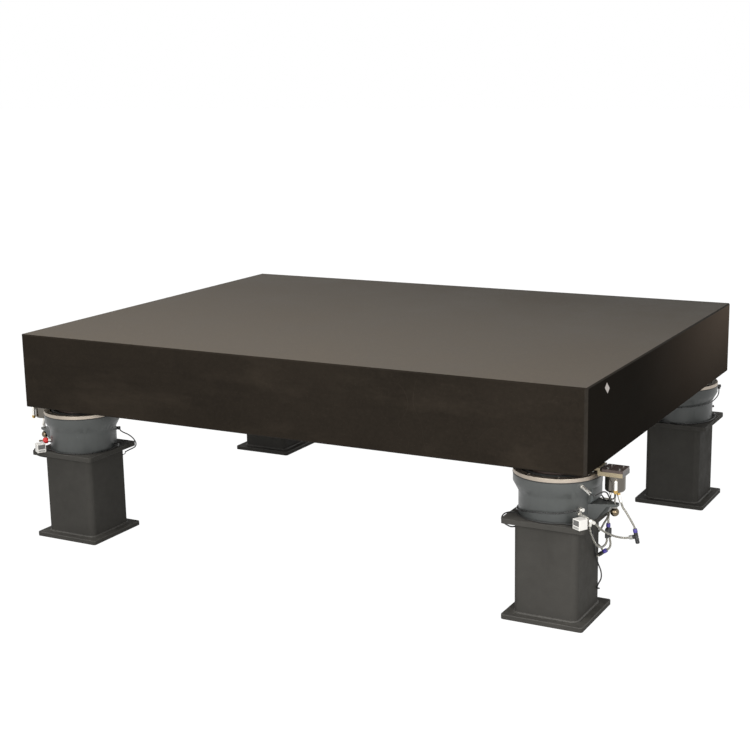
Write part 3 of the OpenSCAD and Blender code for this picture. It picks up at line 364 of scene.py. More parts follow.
def make_mottle_group():
    """Cloudy change of tone at a large and a small scale, 0 to 1."""
    group, given, result = node_group("cloudy_tone", {"Scale": 5.0}, "Tone")
    wide = add_noise(group, given["Vector"], given["Scale"], 2.0)
    finer = add_math(group, "MULTIPLY", given["Scale"], 7.3)
    close = add_noise(group, given["Vector"], finer, 4.0, 0.6)
    wide = add_math(group, "MULTIPLY", wide, 0.65)
    total = add_math(group, "ADD", wide, add_math(group, "MULTIPLY", close, 0.35))
    group.links.new(add_range(group, total, 0.34, 0.66), result["Tone"])
    return group


def make_speck_group():
    """Small separate grains, 1 in a grain and 0 between them."""
    group, given, result = node_group("grains", {"Scale": 400.0, "Share": 0.1}, "Mask")
    cells = add_node(group, "TexVoronoi", {"Vector": given["Vector"], "Scale": given["Scale"]})
    split = add_node(group, "SeparateColor", {"Color": cells["Color"]})
    chosen = add_math(group, "LESS_THAN", split["Red"], given["Share"])
    near = add_range(group, cells["Distance"], 0.32, 0.18)
    group.links.new(add_math(group, "MULTIPLY", chosen, near), result["Mask"])
    return group


def make_scratch_group():
    """Thin winding marks, 1 on a mark."""
    group, given, result = node_group("scratches", {"Scale": 30.0, "Width": 0.004, "Share": 0.5}, "Mask")
    bend = add_node(group, "TexNoise", {"Scale": 3.0, "Vector": given["Vector"]})
    shift = add_vector(group, "MULTIPLY_ADD", bend["Color"], (0.12, 0.12, 0.12), given["Vector"])
    wave = add_node(group, "TexNoise", {"Detail": 0.0, "Vector": shift["Vector"], "Scale": given["Scale"]})
    off = add_math(group, "ABSOLUTE", add_math(group, "SUBTRACT", wave["Fac"], 0.5))
    line = add_range(group, off, given["Width"], 0.0)
    patches = add_noise(group, given["Vector"], 6.0, 2.0)
    kept = add_math(group, "LESS_THAN", patches, given["Share"])
    group.links.new(add_math(group, "MULTIPLY", line, kept), result["Mask"])
    return group


def make_dust_group():
    """Dust and faint fall-out on what faces up, 0 to 1."""
    group, given, result = node_group("settled_dust", {"Amount": 0.5}, "Mask", ("Vector", "Facing"))
    split = add_node(group, "SeparateXYZ", {"Vector": given["Facing"]})
    upward = add_range(group, split["Z"], 0.55, 0.95)
    patchy = add_range(group, add_noise(group, given["Vector"], 38.0, 6.0, 0.65), 0.35, 0.75)
    total = add_math(group, "MULTIPLY", add_math(group, "MULTIPLY", upward, patchy), given["Amount"])
    group.links.new(total, result["Mask"])
    return group


MOTTLE = make_mottle_group()
SPECKS = make_speck_group()
SCRATCHES = make_scratch_group()
DUST = make_dust_group()


# Materials

LOOKS = {}


def toned(color, factor):
    return tuple(min(1.0, c * factor) for c in color)


class Finish:
    """A material under construction: its tree, its shader and where patterns read their place."""

    def __init__(self, name, roughness, metallic=0.0, specular=0.5):
        LOOKS[name] = material = bpy.data.materials.new(name)
        material.use_nodes = True
        self.tree = material.node_tree
        self.shader = self.tree.nodes["Principled BSDF"]
        self.set("Roughness", roughness)
        self.set("Metallic", metallic)
        self.set("Specular IOR Level", specular)
        place = add_node(self.tree, "TexCoord")
        self.place = place["Object"]
        self.facing = place["Normal"]

    def set(self, title, value):
        feed(self.tree, self.shader.inputs[title], value)

    def group(self, group, **values):
        return add_node(self.tree, "Group", {"Vector": self.place, **values}, node_tree=group)[0]

    def dusted(self, body, amount, color):
        return self.mix(self.group(DUST, Facing=self.facing, Amount=amount), body, color)

    def noise(self, *values):
        return add_noise(self.tree, self.place, *values)

    def range(self, *values):
        return add_range(self.tree, *values)

    def mix(self, mask, a, b):
        return add_node(self.tree, "Mix", {0: mask, 6: a, 7: b}, data_type="RGBA")[2]

    def times(self, a, b):
        return add_math(self.tree, "MULTIPLY", a, b)

    def plus(self, a, b):
        return add_math(self.tree, "ADD", a, b)

    def bump(self, height, strength, distance):
        bump = add_node(self.tree, "Bump", {"Strength": strength, "Distance": distance, "Height": height})
        self.set("Normal", bump["Normal"])


def granite(name, deep, pale, roughness, specular, scratch_share, haze=0.0, painted_light_patch=None):
    """Fine black granite: cloudy, with crystals, flecks, hairline marks and wiped smears, and a patch of
    painted light round a spot: painted shade on the top, a painted highlight on the end faces.
    """
    look = Finish(name, roughness, specular=specular)
    clouds = look.group(MOTTLE, Scale=2.2)
    body = look.mix(clouds, deep, pale)
    crystal = look.group(MOTTLE, Scale=95.0)
    body = look.mix(look.times(crystal, 0.3), body, toned(pale, 1.6))
    flecks = look.group(SPECKS, Scale=330.0, Share=0.05)
    body = look.mix(look.times(flecks, 0.25), body, toned(pale, 5))
    black = look.group(SPECKS, Scale=430.0, Share=0.16)
    body = look.mix(look.times(black, 0.35), body, toned(deep, 0.4))
    marks = look.group(SCRATCHES, Scale=7.0, Width=0.0012, Share=scratch_share)
    body = look.mix(look.times(marks, 0.22), body, toned(pale, 4))
    if haze:
        smear = look.range(look.noise(2.6, 5.0, 0.66, (1.0, 1.0, 2.6)), 0.5, 0.76)
        body = look.mix(look.times(smear, haze), body, toned(pale, 3.2))
        wiped = look.range(look.noise(5.5, 3.0, 0.6, (0.35, 0.35, 3.0)), 0.56, 0.7)
        body = look.mix(look.times(wiped, haze * 0.7), body, toned(deep, 0.45))
    # Painted light: near the spot the colour fades towards the patch colour, which is darker for painted
    # shade and lighter for a painted highlight.
    if painted_light_patch:
        spot, squeeze, reach, painted_light_color, amount = painted_light_patch
        placed = add_vector(look.tree, "SUBTRACT", look.place, spot)
        scaled = add_vector(look.tree, "MULTIPLY", placed["Vector"], squeeze)
        away = add_vector(look.tree, "LENGTH", scaled["Vector"])
        near = look.range(away["Value"], reach, 0.0)
        body = look.mix(look.times(look.times(near, near), amount), body, painted_light_color)
    look.set("Base Color", body)
    sheen = look.plus(look.times(clouds, 0.1), look.times(crystal, 0.08))
    look.set("Roughness", look.plus(sheen, roughness - 0.08))
    look.bump(crystal, 0.12, 0.00015)


def painted(name, base, edge, roughness=0.42, specular=0.4, dust=0.35, peel=0.22, foot=None):
    """Sprayed paint with grime and knocks in the colour edge, and darker towards the lower of the two
    heights in foot.
    """
    look = Finish(name, roughness, specular=specular)
    tone = look.group(MOTTLE, Scale=6.0)
    body = look.mix(tone, toned(base, 0.9), toned(base, 1.1))
    grime = look.range(look.noise(14.0, 5.0, 0.6, (1.0, 1.0, 0.35)), 0.55, 0.8)
    body = look.mix(look.times(grime, 0.25), body, toned(base, 0.55))
    knocks = look.group(SPECKS, Scale=170.0, Share=0.02)
    knocks = look.times(knocks, look.range(look.noise(9.0, 2.0), 0.5, 0.65))
    body = look.dusted(look.mix(look.times(knocks, 0.5), body, edge), dust, (0.3, 0.285, 0.25))
    # foot darkens the colour from its upper height down to its lower one.
    if foot:
        low, high, share = foot
        height = add_node(look.tree, "SeparateXYZ", {"Vector": look.place})["Z"]
        darker_low = look.range(look.plus(height, look.times(look.noise(30.0, 3.0), 0.02)), high, low)
        body = look.mix(look.times(darker_low, share), body, toned(base, 0.4))
    look.set("Base Color", body)
    look.set("Roughness", look.range(look.noise(42.0, 3.0), 0.3, 0.7, roughness - 0.05, roughness + 0.09))
    look.bump(look.noise(520.0, 2.0), peel, 0.00012)


def bare_metal(name, base, roughness, brushed=(1.0, 1.0, 40.0), tint=None, streak=0.12):
    """Metal with brush marks and faint stains."""
    look = Finish(name, roughness, metallic=1.0)
    lines = look.noise(90.0, 3.0, 0.5, brushed)
    stain = look.range(look.noise(30.0, 4.0, 0.6), 0.5, 0.8)
    body = look.mix(lines, toned(base, 0.86), base)
    look.set("Base Color", look.mix(look.times(stain, 0.35), body, tint or toned(base, 0.6)))
    look.set("Roughness", look.range(lines, 0.3, 0.7, roughness - streak / 2, roughness + streak))
    look.bump(lines, 0.12, 0.00005)


def plastic(name, base, roughness, texture=0.1, scale=900.0, coat=0.0, dust=0.14):
    """Moulded plastic or rubber with a fine grain and a little dust."""
    look = Finish(name, roughness)
    look.set("Coat Weight", coat)
    body = look.mix(look.group(MOTTLE, Scale=55.0), toned(base, 0.93), base)
    look.set("Base Color", look.dusted(body, dust, (0.35, 0.33, 0.3)))
    look.set("Roughness", look.range(look.noise(160.0, 2.0), 0.3, 0.7, roughness - 0.04, roughness + 0.07))
    look.bump(look.noise(scale, 2.0), texture, 0.00006)


def clear_tubing():
    look = Finish("clear_tubing", 0.16)
    look.set("Transmission Weight", 0.72)
    look.set("IOR", 1.48)
    look.set("Base Color", look.mix(look.noise(22.0, 2.0), (0.5, 0.485, 0.43), (0.6, 0.585, 0.53)))
    look.set("Roughness", look.range(look.noise(60.0, 2.0), 0.3, 0.7, 0.22, 0.3))


def window_glass():
    look = Finish("display_window", 0.12)
    tone = look.range(look.noise(260.0, 2.0), 0.3, 0.7)
    look.set("Base Color", look.mix(tone, (0.1, 0.098, 0.094), (0.13, 0.127, 0.122)))
    look.set("Coat Weight", 0.3)
    look.set("Roughness", look.range(look.noise(70.0, 3.0), 0.3, 0.7, 0.08, 0.2))


# The top's patch is painted shade: darker towards the back and the right.
granite("granite_top", (0.1, 0.085, 0.067), (0.129, 0.11, 0.088), 0.6, 0.07, 0.15,
        painted_light_patch=((0.9, 1.1, 0.71), (0.5, 1.0, 1.0), 2.5, (0.02, 0.017, 0.012), 0.95))
granite("granite_side", (0.0135, 0.0105, 0.0075), (0.021, 0.0165, 0.0122), 0.65, 0.06, 0.5, haze=0.3)
# The end faces are a darker copy of the side granite, which is painted shade. Their patch is a painted
# highlight, lighter and warmer towards the back top corner.
granite("granite_end_painted_shade_and_highlight", (0.0072, 0.006, 0.0045), (0.0105, 0.0086, 0.0066), 0.75, 0.012, 0.35, haze=0.12,
        painted_light_patch=((1.0, 0.8, 0.72), (1.0, 1.0, 2.3), 1.22, (0.23, 0.18, 0.142), 0.95))
granite("granite_edge", (0.018, 0.0152, 0.012), (0.034, 0.029, 0.024), 0.65, 0.07, 0.5)
painted("leg_paint", (0.064, 0.0615, 0.0565), (0.13, 0.127, 0.116), 0.68, 0.08, dust=0.16)
# The edge paint is a lighter copy of the leg paint for the rounded edges and the weld beads: a painted
# highlight.
painted("leg_edge_painted_highlight", (0.085, 0.082, 0.076), (0.16, 0.155, 0.14), 0.5, 0.25, dust=0.1)
# The pot paint is darker towards the bottom of the pot.
painted("pot_paint", (0.082, 0.088, 0.0865), (0.15, 0.162, 0.162), 0.36, 0.42, dust=0.15, peel=0.12,
        foot=(0.305, 0.375, 0.42))
# The pots' edge paint is a lighter copy of the pot paint for rounded edges: a painted highlight.
painted("pot_edge_painted_highlight", (0.1, 0.113, 0.118), (0.19, 0.205, 0.21), 0.34, dust=0.1)
bare_metal("ring_metal", (0.46, 0.4, 0.335), 0.42, (1.0, 1.0, 30.0))
# Dark steel: the isolator screws' own colour, and painted shade on the hanger bars' end faces.
bare_metal("dark_steel", (0.16, 0.155, 0.15), 0.42)
bare_metal("bare_steel", (0.42, 0.405, 0.38), 0.32)
bare_metal("screw_steel", (0.25, 0.24, 0.225), 0.38)
bare_metal("hanger_zinc", (0.37, 0.315, 0.215), 0.5, (1.0, 25.0, 1.0), (0.3, 0.24, 0.16))
bare_metal("valve_chrome", (0.17, 0.155, 0.135), 0.13, (1.0, 1.0, 6.0), (0.13, 0.11, 0.09), 0.03)
bare_metal("nickel", (0.86, 0.84, 0.79), 0.47, (1.0, 1.0, 4.0), streak=0.04)
bare_metal("port_brass", (0.6, 0.4, 0.14), 0.28, (1.0, 1.0, 8.0))
bare_metal("knob_brass", (0.19, 0.15, 0.1), 0.2, (1.0, 1.0, 12.0), (0.16, 0.11, 0.06))
bare_metal("bare_plate", (0.5, 0.46, 0.43), 0.5)
plastic("black_rubber", (0.018, 0.018, 0.018), 0.6, 0.25, 1400.0)
plastic("dark_anodised", (0.075, 0.052, 0.046), 0.34, 0.12, 1800.0, coat=0.1, dust=0.1)
plastic("pale_collar", (0.42, 0.42, 0.4), 0.3)
plastic("red_plastic", (0.8, 0.02, 0.018), 0.36, coat=0.1, dust=0.03)
plastic("white_plastic", (0.95, 0.93, 0.89), 0.36, dust=0.04)
plastic("key_grey", (0.45, 0.45, 0.44), 0.5)
plastic("black_plastic", (0.016, 0.016, 0.016), 0.34, coat=0.15)
plastic("violet_plastic", (0.062, 0.042, 0.31), 0.3, coat=0.2)
plastic("black_tube", (0.014, 0.014, 0.014), 0.28, 0.05)
plastic("cable_jacket", (0.018, 0.018, 0.018), 0.5, 0.3, 1600.0)
window_glass()
clear_tubing()


# Meshes

def keep_mesh(shape, name, looks, body=None, node=None, smooth=38, flat=False):
    """Puts a finished bmesh into a new object at the origin, on a body and in a CAD node's place."""
    mesh = bpy.data.meshes.new(name)
    shape.to_mesh(mesh)
    shape.free()
    for look in looks:
        mesh.materials.append(LOOKS[look])
    for face in mesh.polygons:
        face.use_smooth = True
    mesh.set_sharp_from_angle(angle=math.radians(smooth))
    piece = bpy.data.objects.new(name, mesh)
    bpy.context.collection.objects.link(piece)
    if flat:
        piece.modifiers.new("flat_faces", "WEIGHTED_NORMAL").keep_sharp = True
    if node:
        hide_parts(node)
    if body:
        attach(piece, body)
    return piece


def bevel_edges(shape, edges, width, segments):
    return bmesh.ops.bevel(shape, geom=edges, offset=width, offset_type="OFFSET", segments=segments,
                           profile=0.5, affect="EDGES", clamp_overlap=True, material=-1)["faces"]


def bevelled(shape, width, segments=2, sharp=32):
    """Rounds a mesh's sharp edges and returns the new faces."""
    edges = [e for e in shape.edges
             if len(e.link_faces) == 2 and e.calc_face_angle(0) > math.radians(sharp)]
    return bevel_edges(shape, edges, width, segments)


def merged_copy(node):
    shape = bmesh.new()
    shape.from_mesh(frame["nodes"][node].data)
    bmesh.ops.remove_doubles(shape, verts=shape.verts, dist=0.00001)
    bmesh.ops.dissolve_limit(shape, angle_limit=math.radians(0.5), verts=shape.verts, edges=shape.edges)
    return shape


def middle_of(verts):
    return sum((v.co for v in verts), Vector()) / len(verts)


def cut_sockets(shape, low, high, depth, round_from=16, share=0.55):
    """Cuts a hexagon socket into the flat end of each screw head with a radius between low and high."""
    for face in [f for f in shape.faces if len(f.verts) >= round_from]:
        centre = face.calc_center_median()
        side = face.verts[0].co - centre
        radius = side.length
        another = (face.verts[5].co - centre).length
        if not low < radius < high or abs(another - radius) > 0.0001:
            continue
        inward = -face.normal
        side.normalize()
        across = inward.cross(side)
        rim = list(face.edges)
        bmesh.ops.delete(shape, geom=[face], context="FACES_ONLY")
        corners = []
        for k in range(6):
            a = math.radians(60 * k)
            way = side * math.cos(a) + across * math.sin(a)
            corners.append(shape.verts.new(centre + way * radius * share))
        mouth = [shape.edges.new((corners[k], corners[(k + 1) % 6])) for k in range(6)]
        bmesh.ops.bridge_loops(shape, edges=rim + mouth)
        sunk = bmesh.ops.extrude_edge_only(shape, edges=mouth)["geom"]
        low_corners = [v for v in sunk if isinstance(v, bmesh.types.BMVert)]
        bmesh.ops.translate(shape, verts=low_corners, vec=inward * depth)
        floor = [e for e in sunk
                 if isinstance(e, bmesh.types.BMEdge) and all(v in low_corners for v in e.verts)]
        bmesh.ops.edgeloop_fill(shape, edges=floor)
    bmesh.ops.recalc_face_normals(shape, faces=shape.faces)


def relieve_foot(shape, width, outside=0.1115):
    """Chamfers the lowest outer rim, which leaves a dark joint line under the pot."""
    low = min(v.co.z for v in shape.verts) + 0.0001
    middle = middle_of(shape.verts)
    rim = [e for e in shape.edges
           if all(v.co.z < low and (v.co - middle).to_2d().length > outside for v in e.verts)]
    bevel_edges(shape, rim, width, 1)


def turn_round(shape, profile, start, way, steps=32, closed=False):
    """Adds a shape turned from (radius, height) points in millimetres, with its axis along way."""
    verts = [shape.verts.new((r * MM, 0, h * MM)) for r, h in profile]
    edges = [shape.edges.new(pair) for pair in zip(verts, verts[1:])]
    if closed:
        edges.append(shape.edges.new((verts[-1], verts[0])))
    bmesh.ops.spin(shape, geom=verts + edges, cent=(0, 0, 0), axis=(0, 0, 1), angle=math.tau, steps=steps,
                   use_merge=True)
    bmesh.ops.remove_doubles(shape, verts=shape.verts, dist=0.000001)
    placed = Matrix.Translation(start) @ unit(way).to_track_quat("Z", "Y").to_matrix().to_4x4()
    bmesh.ops.transform(shape, matrix=placed, verts=shape.verts)


def keep_turned(parts, name, look, body, node=None, width=0.0002, steps=32):
    """One piece made of turned parts, each given as profile, start, way and whether it closes on itself."""
    shape = bmesh.new()
    for profile, start, way, closed in parts:
        part = bmesh.new()
        turn_round(part, profile, start, way, steps, closed)
        bmesh.ops.recalc_face_normals(part, faces=part.faces)
        mesh = bpy.data.meshes.new("part")
        part.to_mesh(mesh)
        part.free()
        shape.from_mesh(mesh)
        bpy.data.meshes.remove(mesh)
    bevelled(shape, width, 2, 28)
    keep_mesh(shape, name, [look], body, node)


def keep_for_node(shape, name, looks, node):
    keep_mesh(shape, name, looks, BODY_OF[node], node, flat=True)


def dress(node, look, edge=None, width=0.0006, segments=2, socket=None, other=None, takes=None, foot=None):
    """A copy of a CAD node with rounded edges, which stands for the node.

    The rounded edges take the look edge, and the faces that takes() names take the look other.
    """
    shape = merged_copy(node)
    if socket:
        cut_sockets(shape, *(size * MM for size in socket))
    if foot:
        relieve_foot(shape, foot)
    rounded = bevelled(shape, width, segments)
    for face in rounded if edge else [f for f in shape.faces if takes and takes(f)]:
        face.material_index = 1
    keep_for_node(shape, node + "_finished", [name for name in (look, edge or other) if name], node)


def dress_parts(node, look, spots):
    """As dress, but each separate solid becomes a piece, named for the spot that it is nearest to."""
    shape = merged_copy(node)
    bevelled(shape, SMALL_EDGE)
    left = set(shape.verts)
    islands = []
    while left:
        grown = [left.pop()]
        island = set(grown)
        while grown:
            for edge in grown.pop().link_edges:
                for vert in left.intersection(edge.verts):
                    left.remove(vert)
                    island.add(vert)
                    grown.append(vert)
        islands.append(island)
    for name, spot in spots.items():
        nearest = min(islands, key=lambda found: (middle_of(found) - spot).length)
        part = bmesh.new()
        copies = {v: part.verts.new(v.co) for v in shape.verts if v in nearest}
        for face in shape.faces:
            if face.verts[0] in nearest:
                part.faces.new([copies[v] for v in face.verts])
        keep_for_node(part, name, [look], node)
    shape.free()


# Cords

def cord_curve(name, line, diameter, look):
    data = bpy.data.curves.new(name, "CURVE")
    data.dimensions = "3D"
    data.bevel_depth = diameter / 2
    data.bevel_resolution = 5
    data.use_fill_caps = True
    spline = data.splines.new("POLY")
    spline.points.add(len(line) - 1)
    for point, place in zip(spline.points, line):
        point.co = (*place, 1)
    spline.use_smooth = True
    data.materials.append(LOOKS[look])
    cord = bpy.data.objects.new(name, data)
    bpy.context.collection.objects.link(cord)
    return cord


def cord_mesh(name, line, diameter, look, wall=None):
    """A tube as a mesh, hollow where it has a wall."""
    curve = cord_curve(name + "_line", line, diameter, look)
    curve.data.use_fill_caps = wall is None
    bpy.context.view_layer.update()
    mesh = bpy.data.meshes.new_from_object(curve.evaluated_get(bpy.context.evaluated_depsgraph_get()))
    bpy.data.objects.remove(curve, do_unlink=True)
    shape = bmesh.new()
    shape.from_mesh(mesh)
    bpy.data.meshes.remove(mesh)
    bmesh.ops.remove_doubles(shape, verts=shape.verts, dist=0.000001)
    bmesh.ops.recalc_face_normals(shape, faces=shape.faces)
    cord = keep_mesh(shape, name, [look])
    if wall:
        inside = cord.modifiers.new("wall", "SOLIDIFY")
        inside.thickness = wall
        inside.offset = -1
        inside.use_even_offset = True
        inside.use_rim = True
    return cord


def make_cord(name, node, slot):
    leg, points = ROUTES[name]
    line = [on_head(leg, p) for p in rounded_route(points)]
    if slot == "clear_tube":
        diameter = CLEAR_TUBE
        cord = cord_mesh(name, line, diameter, "clear_tubing", CLEAR_WALL)
    else:
        diameter = BLACK_TUBE
        cord = (cord_mesh if name in BLEND_ENDS else cord_curve)(name, line, diameter, slot)
    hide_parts(node)
    if name in BLEND_ENDS:
        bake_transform(cord)
    else:
        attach(cord, "base")


# Slab

def make_slab():
    shape = merged_copy("granite_slab")
    looks = ["granite_top", "granite_side", "granite_edge", "granite_end_painted_shade_and_highlight"]
    # The end faces take the darker granite copy: painted shade with a painted highlight.
    top, side, edge, end = range(len(looks))
    square_on = 0.95
    for face in shape.faces:
        n = face.normal
        upright_edge = abs(n.z) < 0.1 and max(abs(n.x), abs(n.y)) <= square_on
        face.material_index = (top if n.z > square_on else end if n.x > square_on
                               else edge if upright_edge else side)
    bevelled(shape, 0.0007, 2, 30)
    keep_mesh(shape, "granite_plate", looks, "floating_top", "granite_slab", flat=True)


def make_diamond_plate():
    """The small bare plate on the slab's right face."""
    thickness, place = 0.0006, (1.0, -0.588, 0.677)
    outline = ((20, -4), (-4, 16.5), (-20, 4), (4, -16.5))
    shape = bmesh.new()
    corners = [shape.verts.new((0, y * MM, z * MM)) for y, z in outline]
    made = bmesh.ops.extrude_face_region(shape, geom=[shape.faces.new(corners)])
    top = [v for v in made["geom"] if isinstance(v, bmesh.types.BMVert)]
    bmesh.ops.translate(shape, verts=top, vec=(thickness, 0, 0))
    bmesh.ops.recalc_face_normals(shape, faces=shape.faces)
    bevelled(shape, 0.0002)
    bmesh.ops.translate(shape, verts=shape.verts, vec=place)
    keep_mesh(shape, "bare_diamond_plate", ["bare_plate"], body="floating_top")


# Welds

def weld_path(along=30, round_corner=8):
    """The foot line of a pedestal tube, side by side with its rounded corners."""
    flat = LEG_HALF - LEG_CORNER
    path = []
    for quarter in range(4):
        turn = Matrix.Rotation(math.radians(90 * quarter), 3, "Z")
        path += [turn @ Vector((LEG_HALF, -flat + flat * 2 * k / along, 0)) for k in range(along)]
        for k in range(round_corner):
            a = math.radians(90 * k / round_corner)
            x, y = flat + LEG_CORNER * math.cos(a), flat + LEG_CORNER * math.sin(a)
            path.append(turn @ Vector((x, y, 0)))
    return path


def make_welds(radius=0.0042, sides=8, ripple=0.13, unevenness=0.12, set_out=0.0006):
    """A rippled bead round both ends of each pedestal tube."""
    path = weld_path()
    for leg, (side_x, side_y) in LEGS.items():
        shape = bmesh.new()
        for z, outward in ((PLATE, 1), (HEAD_TOP - PLATE, -1)):
            rings = []
            for i, spot in enumerate(path):
                way = (path[(i + 1) % len(path)] - path[i - 1]).normalized()
                out = Vector((way.y, -way.x, 0))
                uneven = noise.noise(spot * 60 + Vector((0, 0, z)))
                swell = radius * (1 + ripple * math.sin(i * 2.1) + unevenness * uneven)
                ring = []
                for k in range(sides):
                    a = 2 * math.pi * k / sides
                    height = z + outward * set_out + math.sin(a) * swell
                    place = Vector((side_x * LEG_X, side_y * LEG_Y, height))
                    ring.append(shape.verts.new(spot + out * math.cos(a) * swell + place))
                rings.append(ring)
            for a, b in zip(rings, rings[1:] + rings[:1]):
                for k in range(sides):
                    shape.faces.new((a[k], a[(k + 1) % sides], b[(k + 1) % sides], b[k]))
        bmesh.ops.recalc_face_normals(shape, faces=shape.faces)
        # The beads take the lighter edge paint, a painted highlight.
        keep_mesh(shape, "weld_beads_" + leg, ["leg_edge_painted_highlight"], "base", smooth=60)


# Small fittings

def make_collars():
    """Release collars, each with the sleeve that holds it in the fitting's end."""
    sleeve = [(4.9, -7.5), (6.1, -7.5), (6.4, -7.1), (6.4, -0.6), (6.0, 0.2), (5.2, 0.2), (5.2, 1.4),
              (6.0, 1.6), (6.0, 2.8), (5.6, 3.1), (3.3, 3.1), (3.3, -5.5), (4.9, -5.5)]
    for name, mouth, inner, look in (
            ("tee_top_collar", TEE_TOP, TEE_CENTRE, "violet_plastic"),
            ("tee_side_collar", TEE_SIDE, TEE_CENTRE, "pale_collar"),
            ("y_collar", Y_TOP, (*Y_TOP[:2], -43), "violet_plastic"),
            ("union_collar", UNION_TOP, UNION_LOW, "violet_plastic")):
        part = (sleeve, on_head("fr", mouth), Vector(mouth) - Vector(inner), True)
        keep_turned([part], name, look, "base", "release_collars")


def ribbed_arm(mouth, length, sleeved):
    """One arm of the tee: a bore, a rim and three ribs, from the mouth to the tee's middle."""
    profile = [(0, -6), (3.2, -6), (3.2, -0.4), (3.6, 0), (4.8, 0), (5.3, -0.6)]
    profile += [(5.3, -7.5)] if sleeved else [(5.1, -1.6), (6.0, -2.1), (6.0, -7.2), (5.4, -7.7)]
    for k in range(3):
        top = -8.6 - 2.4 * k
        profile += [(5.4, top), (6.2, top - 0.3), (6.2, top - 1.3), (5.4, top - 1.6)]
    profile += [(5.4, -length), (0, -length)]
    return profile, on_head("fr", mouth), Vector(mouth) - Vector(TEE_CENTRE), False


def make_tee(hub_radius=6.2):
    hub = [(hub_radius * math.sin(math.radians(a)), -hub_radius * math.cos(math.radians(a)))
           for a in range(0, 181, 15)]
    parts = [ribbed_arm(TEE_TOP, 19.5, True), ribbed_arm(TEE_LOW, 20.5, False),
             ribbed_arm(TEE_SIDE, 18.1, True), (hub, on_head("fr", TEE_CENTRE), (0, 1, 0), False)]
    keep_turned(parts, "tee_ribbed", "black_plastic", "base", "tee_fr")


def make_bleed_knob(seat=9.7, flutes=8, flute_depth=0.0011):
    """The red knob with finger flutes, on its brass needle."""
    way = radial(BLEED_AZ)
    start = on_head("fl", Vector(at_angle(BLEED_AZ, POT_WALL, BLEED_Z)) + way * seat)
    outline = [(0, 0), (8, 0), (9.5, 0.8), (10.3, 2.4), (10.3, 12), (9.2, 15), (6.8, 16.8), (3.4, 17.4),
               (0, 17.4)]
    shape = bmesh.new()
    turn_round(shape, outline, start, way, 48)
    bottom = way.cross(Vector((0, 0, 1)))
    for vert in shape.verts:
        along = (vert.co - start).dot(way)
        off = vert.co - start - way * along
        if 0.001 < along < 0.016 and off.length > 0.004:
            turn = math.atan2(off.z, off.dot(bottom))
            vert.co -= off.normalized() * flute_depth * max(0, math.cos(turn * flutes)) ** 2
    bmesh.ops.recalc_face_normals(shape, faces=shape.faces)
    keep_mesh(shape, "bleed_knob_fluted", ["red_plastic"], "bleed_screw_fl", "bleed_knob_fl",
              smooth=30)
    needle = [(0, 15), (3.4, 15), (3.4, 20), (2.6, 20.4), (2.6, 22), (3.4, 22.4), (3.4, 30), (2.8, 31),
              (0, 31)]
    keep_turned([(needle, start, way, False)], "bleed_needle", "knob_brass", "bleed_screw_fl",
                node="bleed_knob_fl")


def make_diaphragm_rims():
    """A black rubber bead that stands for the diaphragm's edge and, made thicker, for the shadow in the
    joint: partly painted shade, shown as a black line under each clamp ring.
    """
    bead = [(127.6, 120.7), (128.7, 120.9), (129.1, 122.5), (128.7, 124.1), (127.6, 124.3)]
    for leg in LEGS:
        part = (bead, on_head(leg, (0, 0, 0)), (0, 0, 1), True)
        keep_turned([part], "diaphragm_bead_and_shadow_" + leg, "black_rubber", "base", width=0.0001,
                    steps=128)


def make_bracket_boss(leg):
    """The pot's thicker wall between its flange and the bracket."""
    shape = bmesh.new()
    spread = math.radians(20)
    profile = [(107, 49), (116, 49), (127.2, 60), (127.2, 104), (107, 104)]
    begin = Matrix.Rotation(-spread, 4, "Z")
    outline = shape.faces.new([shape.verts.new(begin @ Vector((r * MM, 0, h * MM))) for r, h in profile])
    bmesh.ops.spin(shape, geom=[outline], cent=(0, 0, 0), axis=(0, 0, 1), angle=2 * spread, steps=12)
    bmesh.ops.recalc_face_normals(shape, faces=shape.faces)
    if LEGS[leg][0] < 0:
        bmesh.ops.rotate(shape, verts=shape.verts, cent=(0, 0, 0), matrix=Matrix.Rotation(math.pi, 3, "Z"))
    bmesh.ops.translate(shape, verts=shape.verts, vec=on_head(leg, (0, 0, 0)))
    # The boss's rounded edges take the lighter edge paint, a painted highlight.
    for face in bevelled(shape, 0.0015, 3, 30):
        face.material_index = 1
    keep_mesh(shape, "bracket_boss_" + leg, ["pot_paint", "pot_edge_painted_highlight"],
              "base")


# The hanger bars' end faces take dark steel as painted shade.
def is_bar_end(face):
    return abs(face.normal.x) > 0.9


def is_brass_end(face, reach=0.0085, above=0.0045):
    """The lower end of each valve's front elbow, and the neck of its slanting outlet."""
    spot = face.calc_center_median()
    for leg in VALVE_LEGS:
        nut = facing_out(leg, (185.3, -36.6, 94))
        neck = facing_out(leg, (178, 9, 77))
        at_nut = (spot - nut).to_2d().length < reach and spot.z < nut.z + above
        if at_nut or (spot - neck).length < reach:
            return True
    return False


def is_black_elbow(face, clear=0.022):
    """The fittings of the front left and back right isolators, apart from the bleed screw's body."""
    spot = face.calc_center_median()
    bleed = on_head("fl", at_angle(BLEED_AZ, 115, BLEED_Z))
    return spot.x * spot.y > 0 and (spot - bleed).length > clear


# Floor and light

def show_white(tree, output, plain, white, share):
    """Shows white to the eye and in reflections, and leaves the light on the object alone."""
    path = add_node(tree, "LightPath")
    seen = add_math(tree, "MAXIMUM", path["Is Camera Ray"], path["Is Glossy Ray"])
    seen = add_math(tree, "MAXIMUM", seen, path["Is Transmission Ray"])
    shown = add_node(tree, "MixShader", {0: add_math(tree, "MULTIPLY", seen, share), 1: plain, 2: white})
    add_node(tree, output, {"Surface": shown["Shader"]})


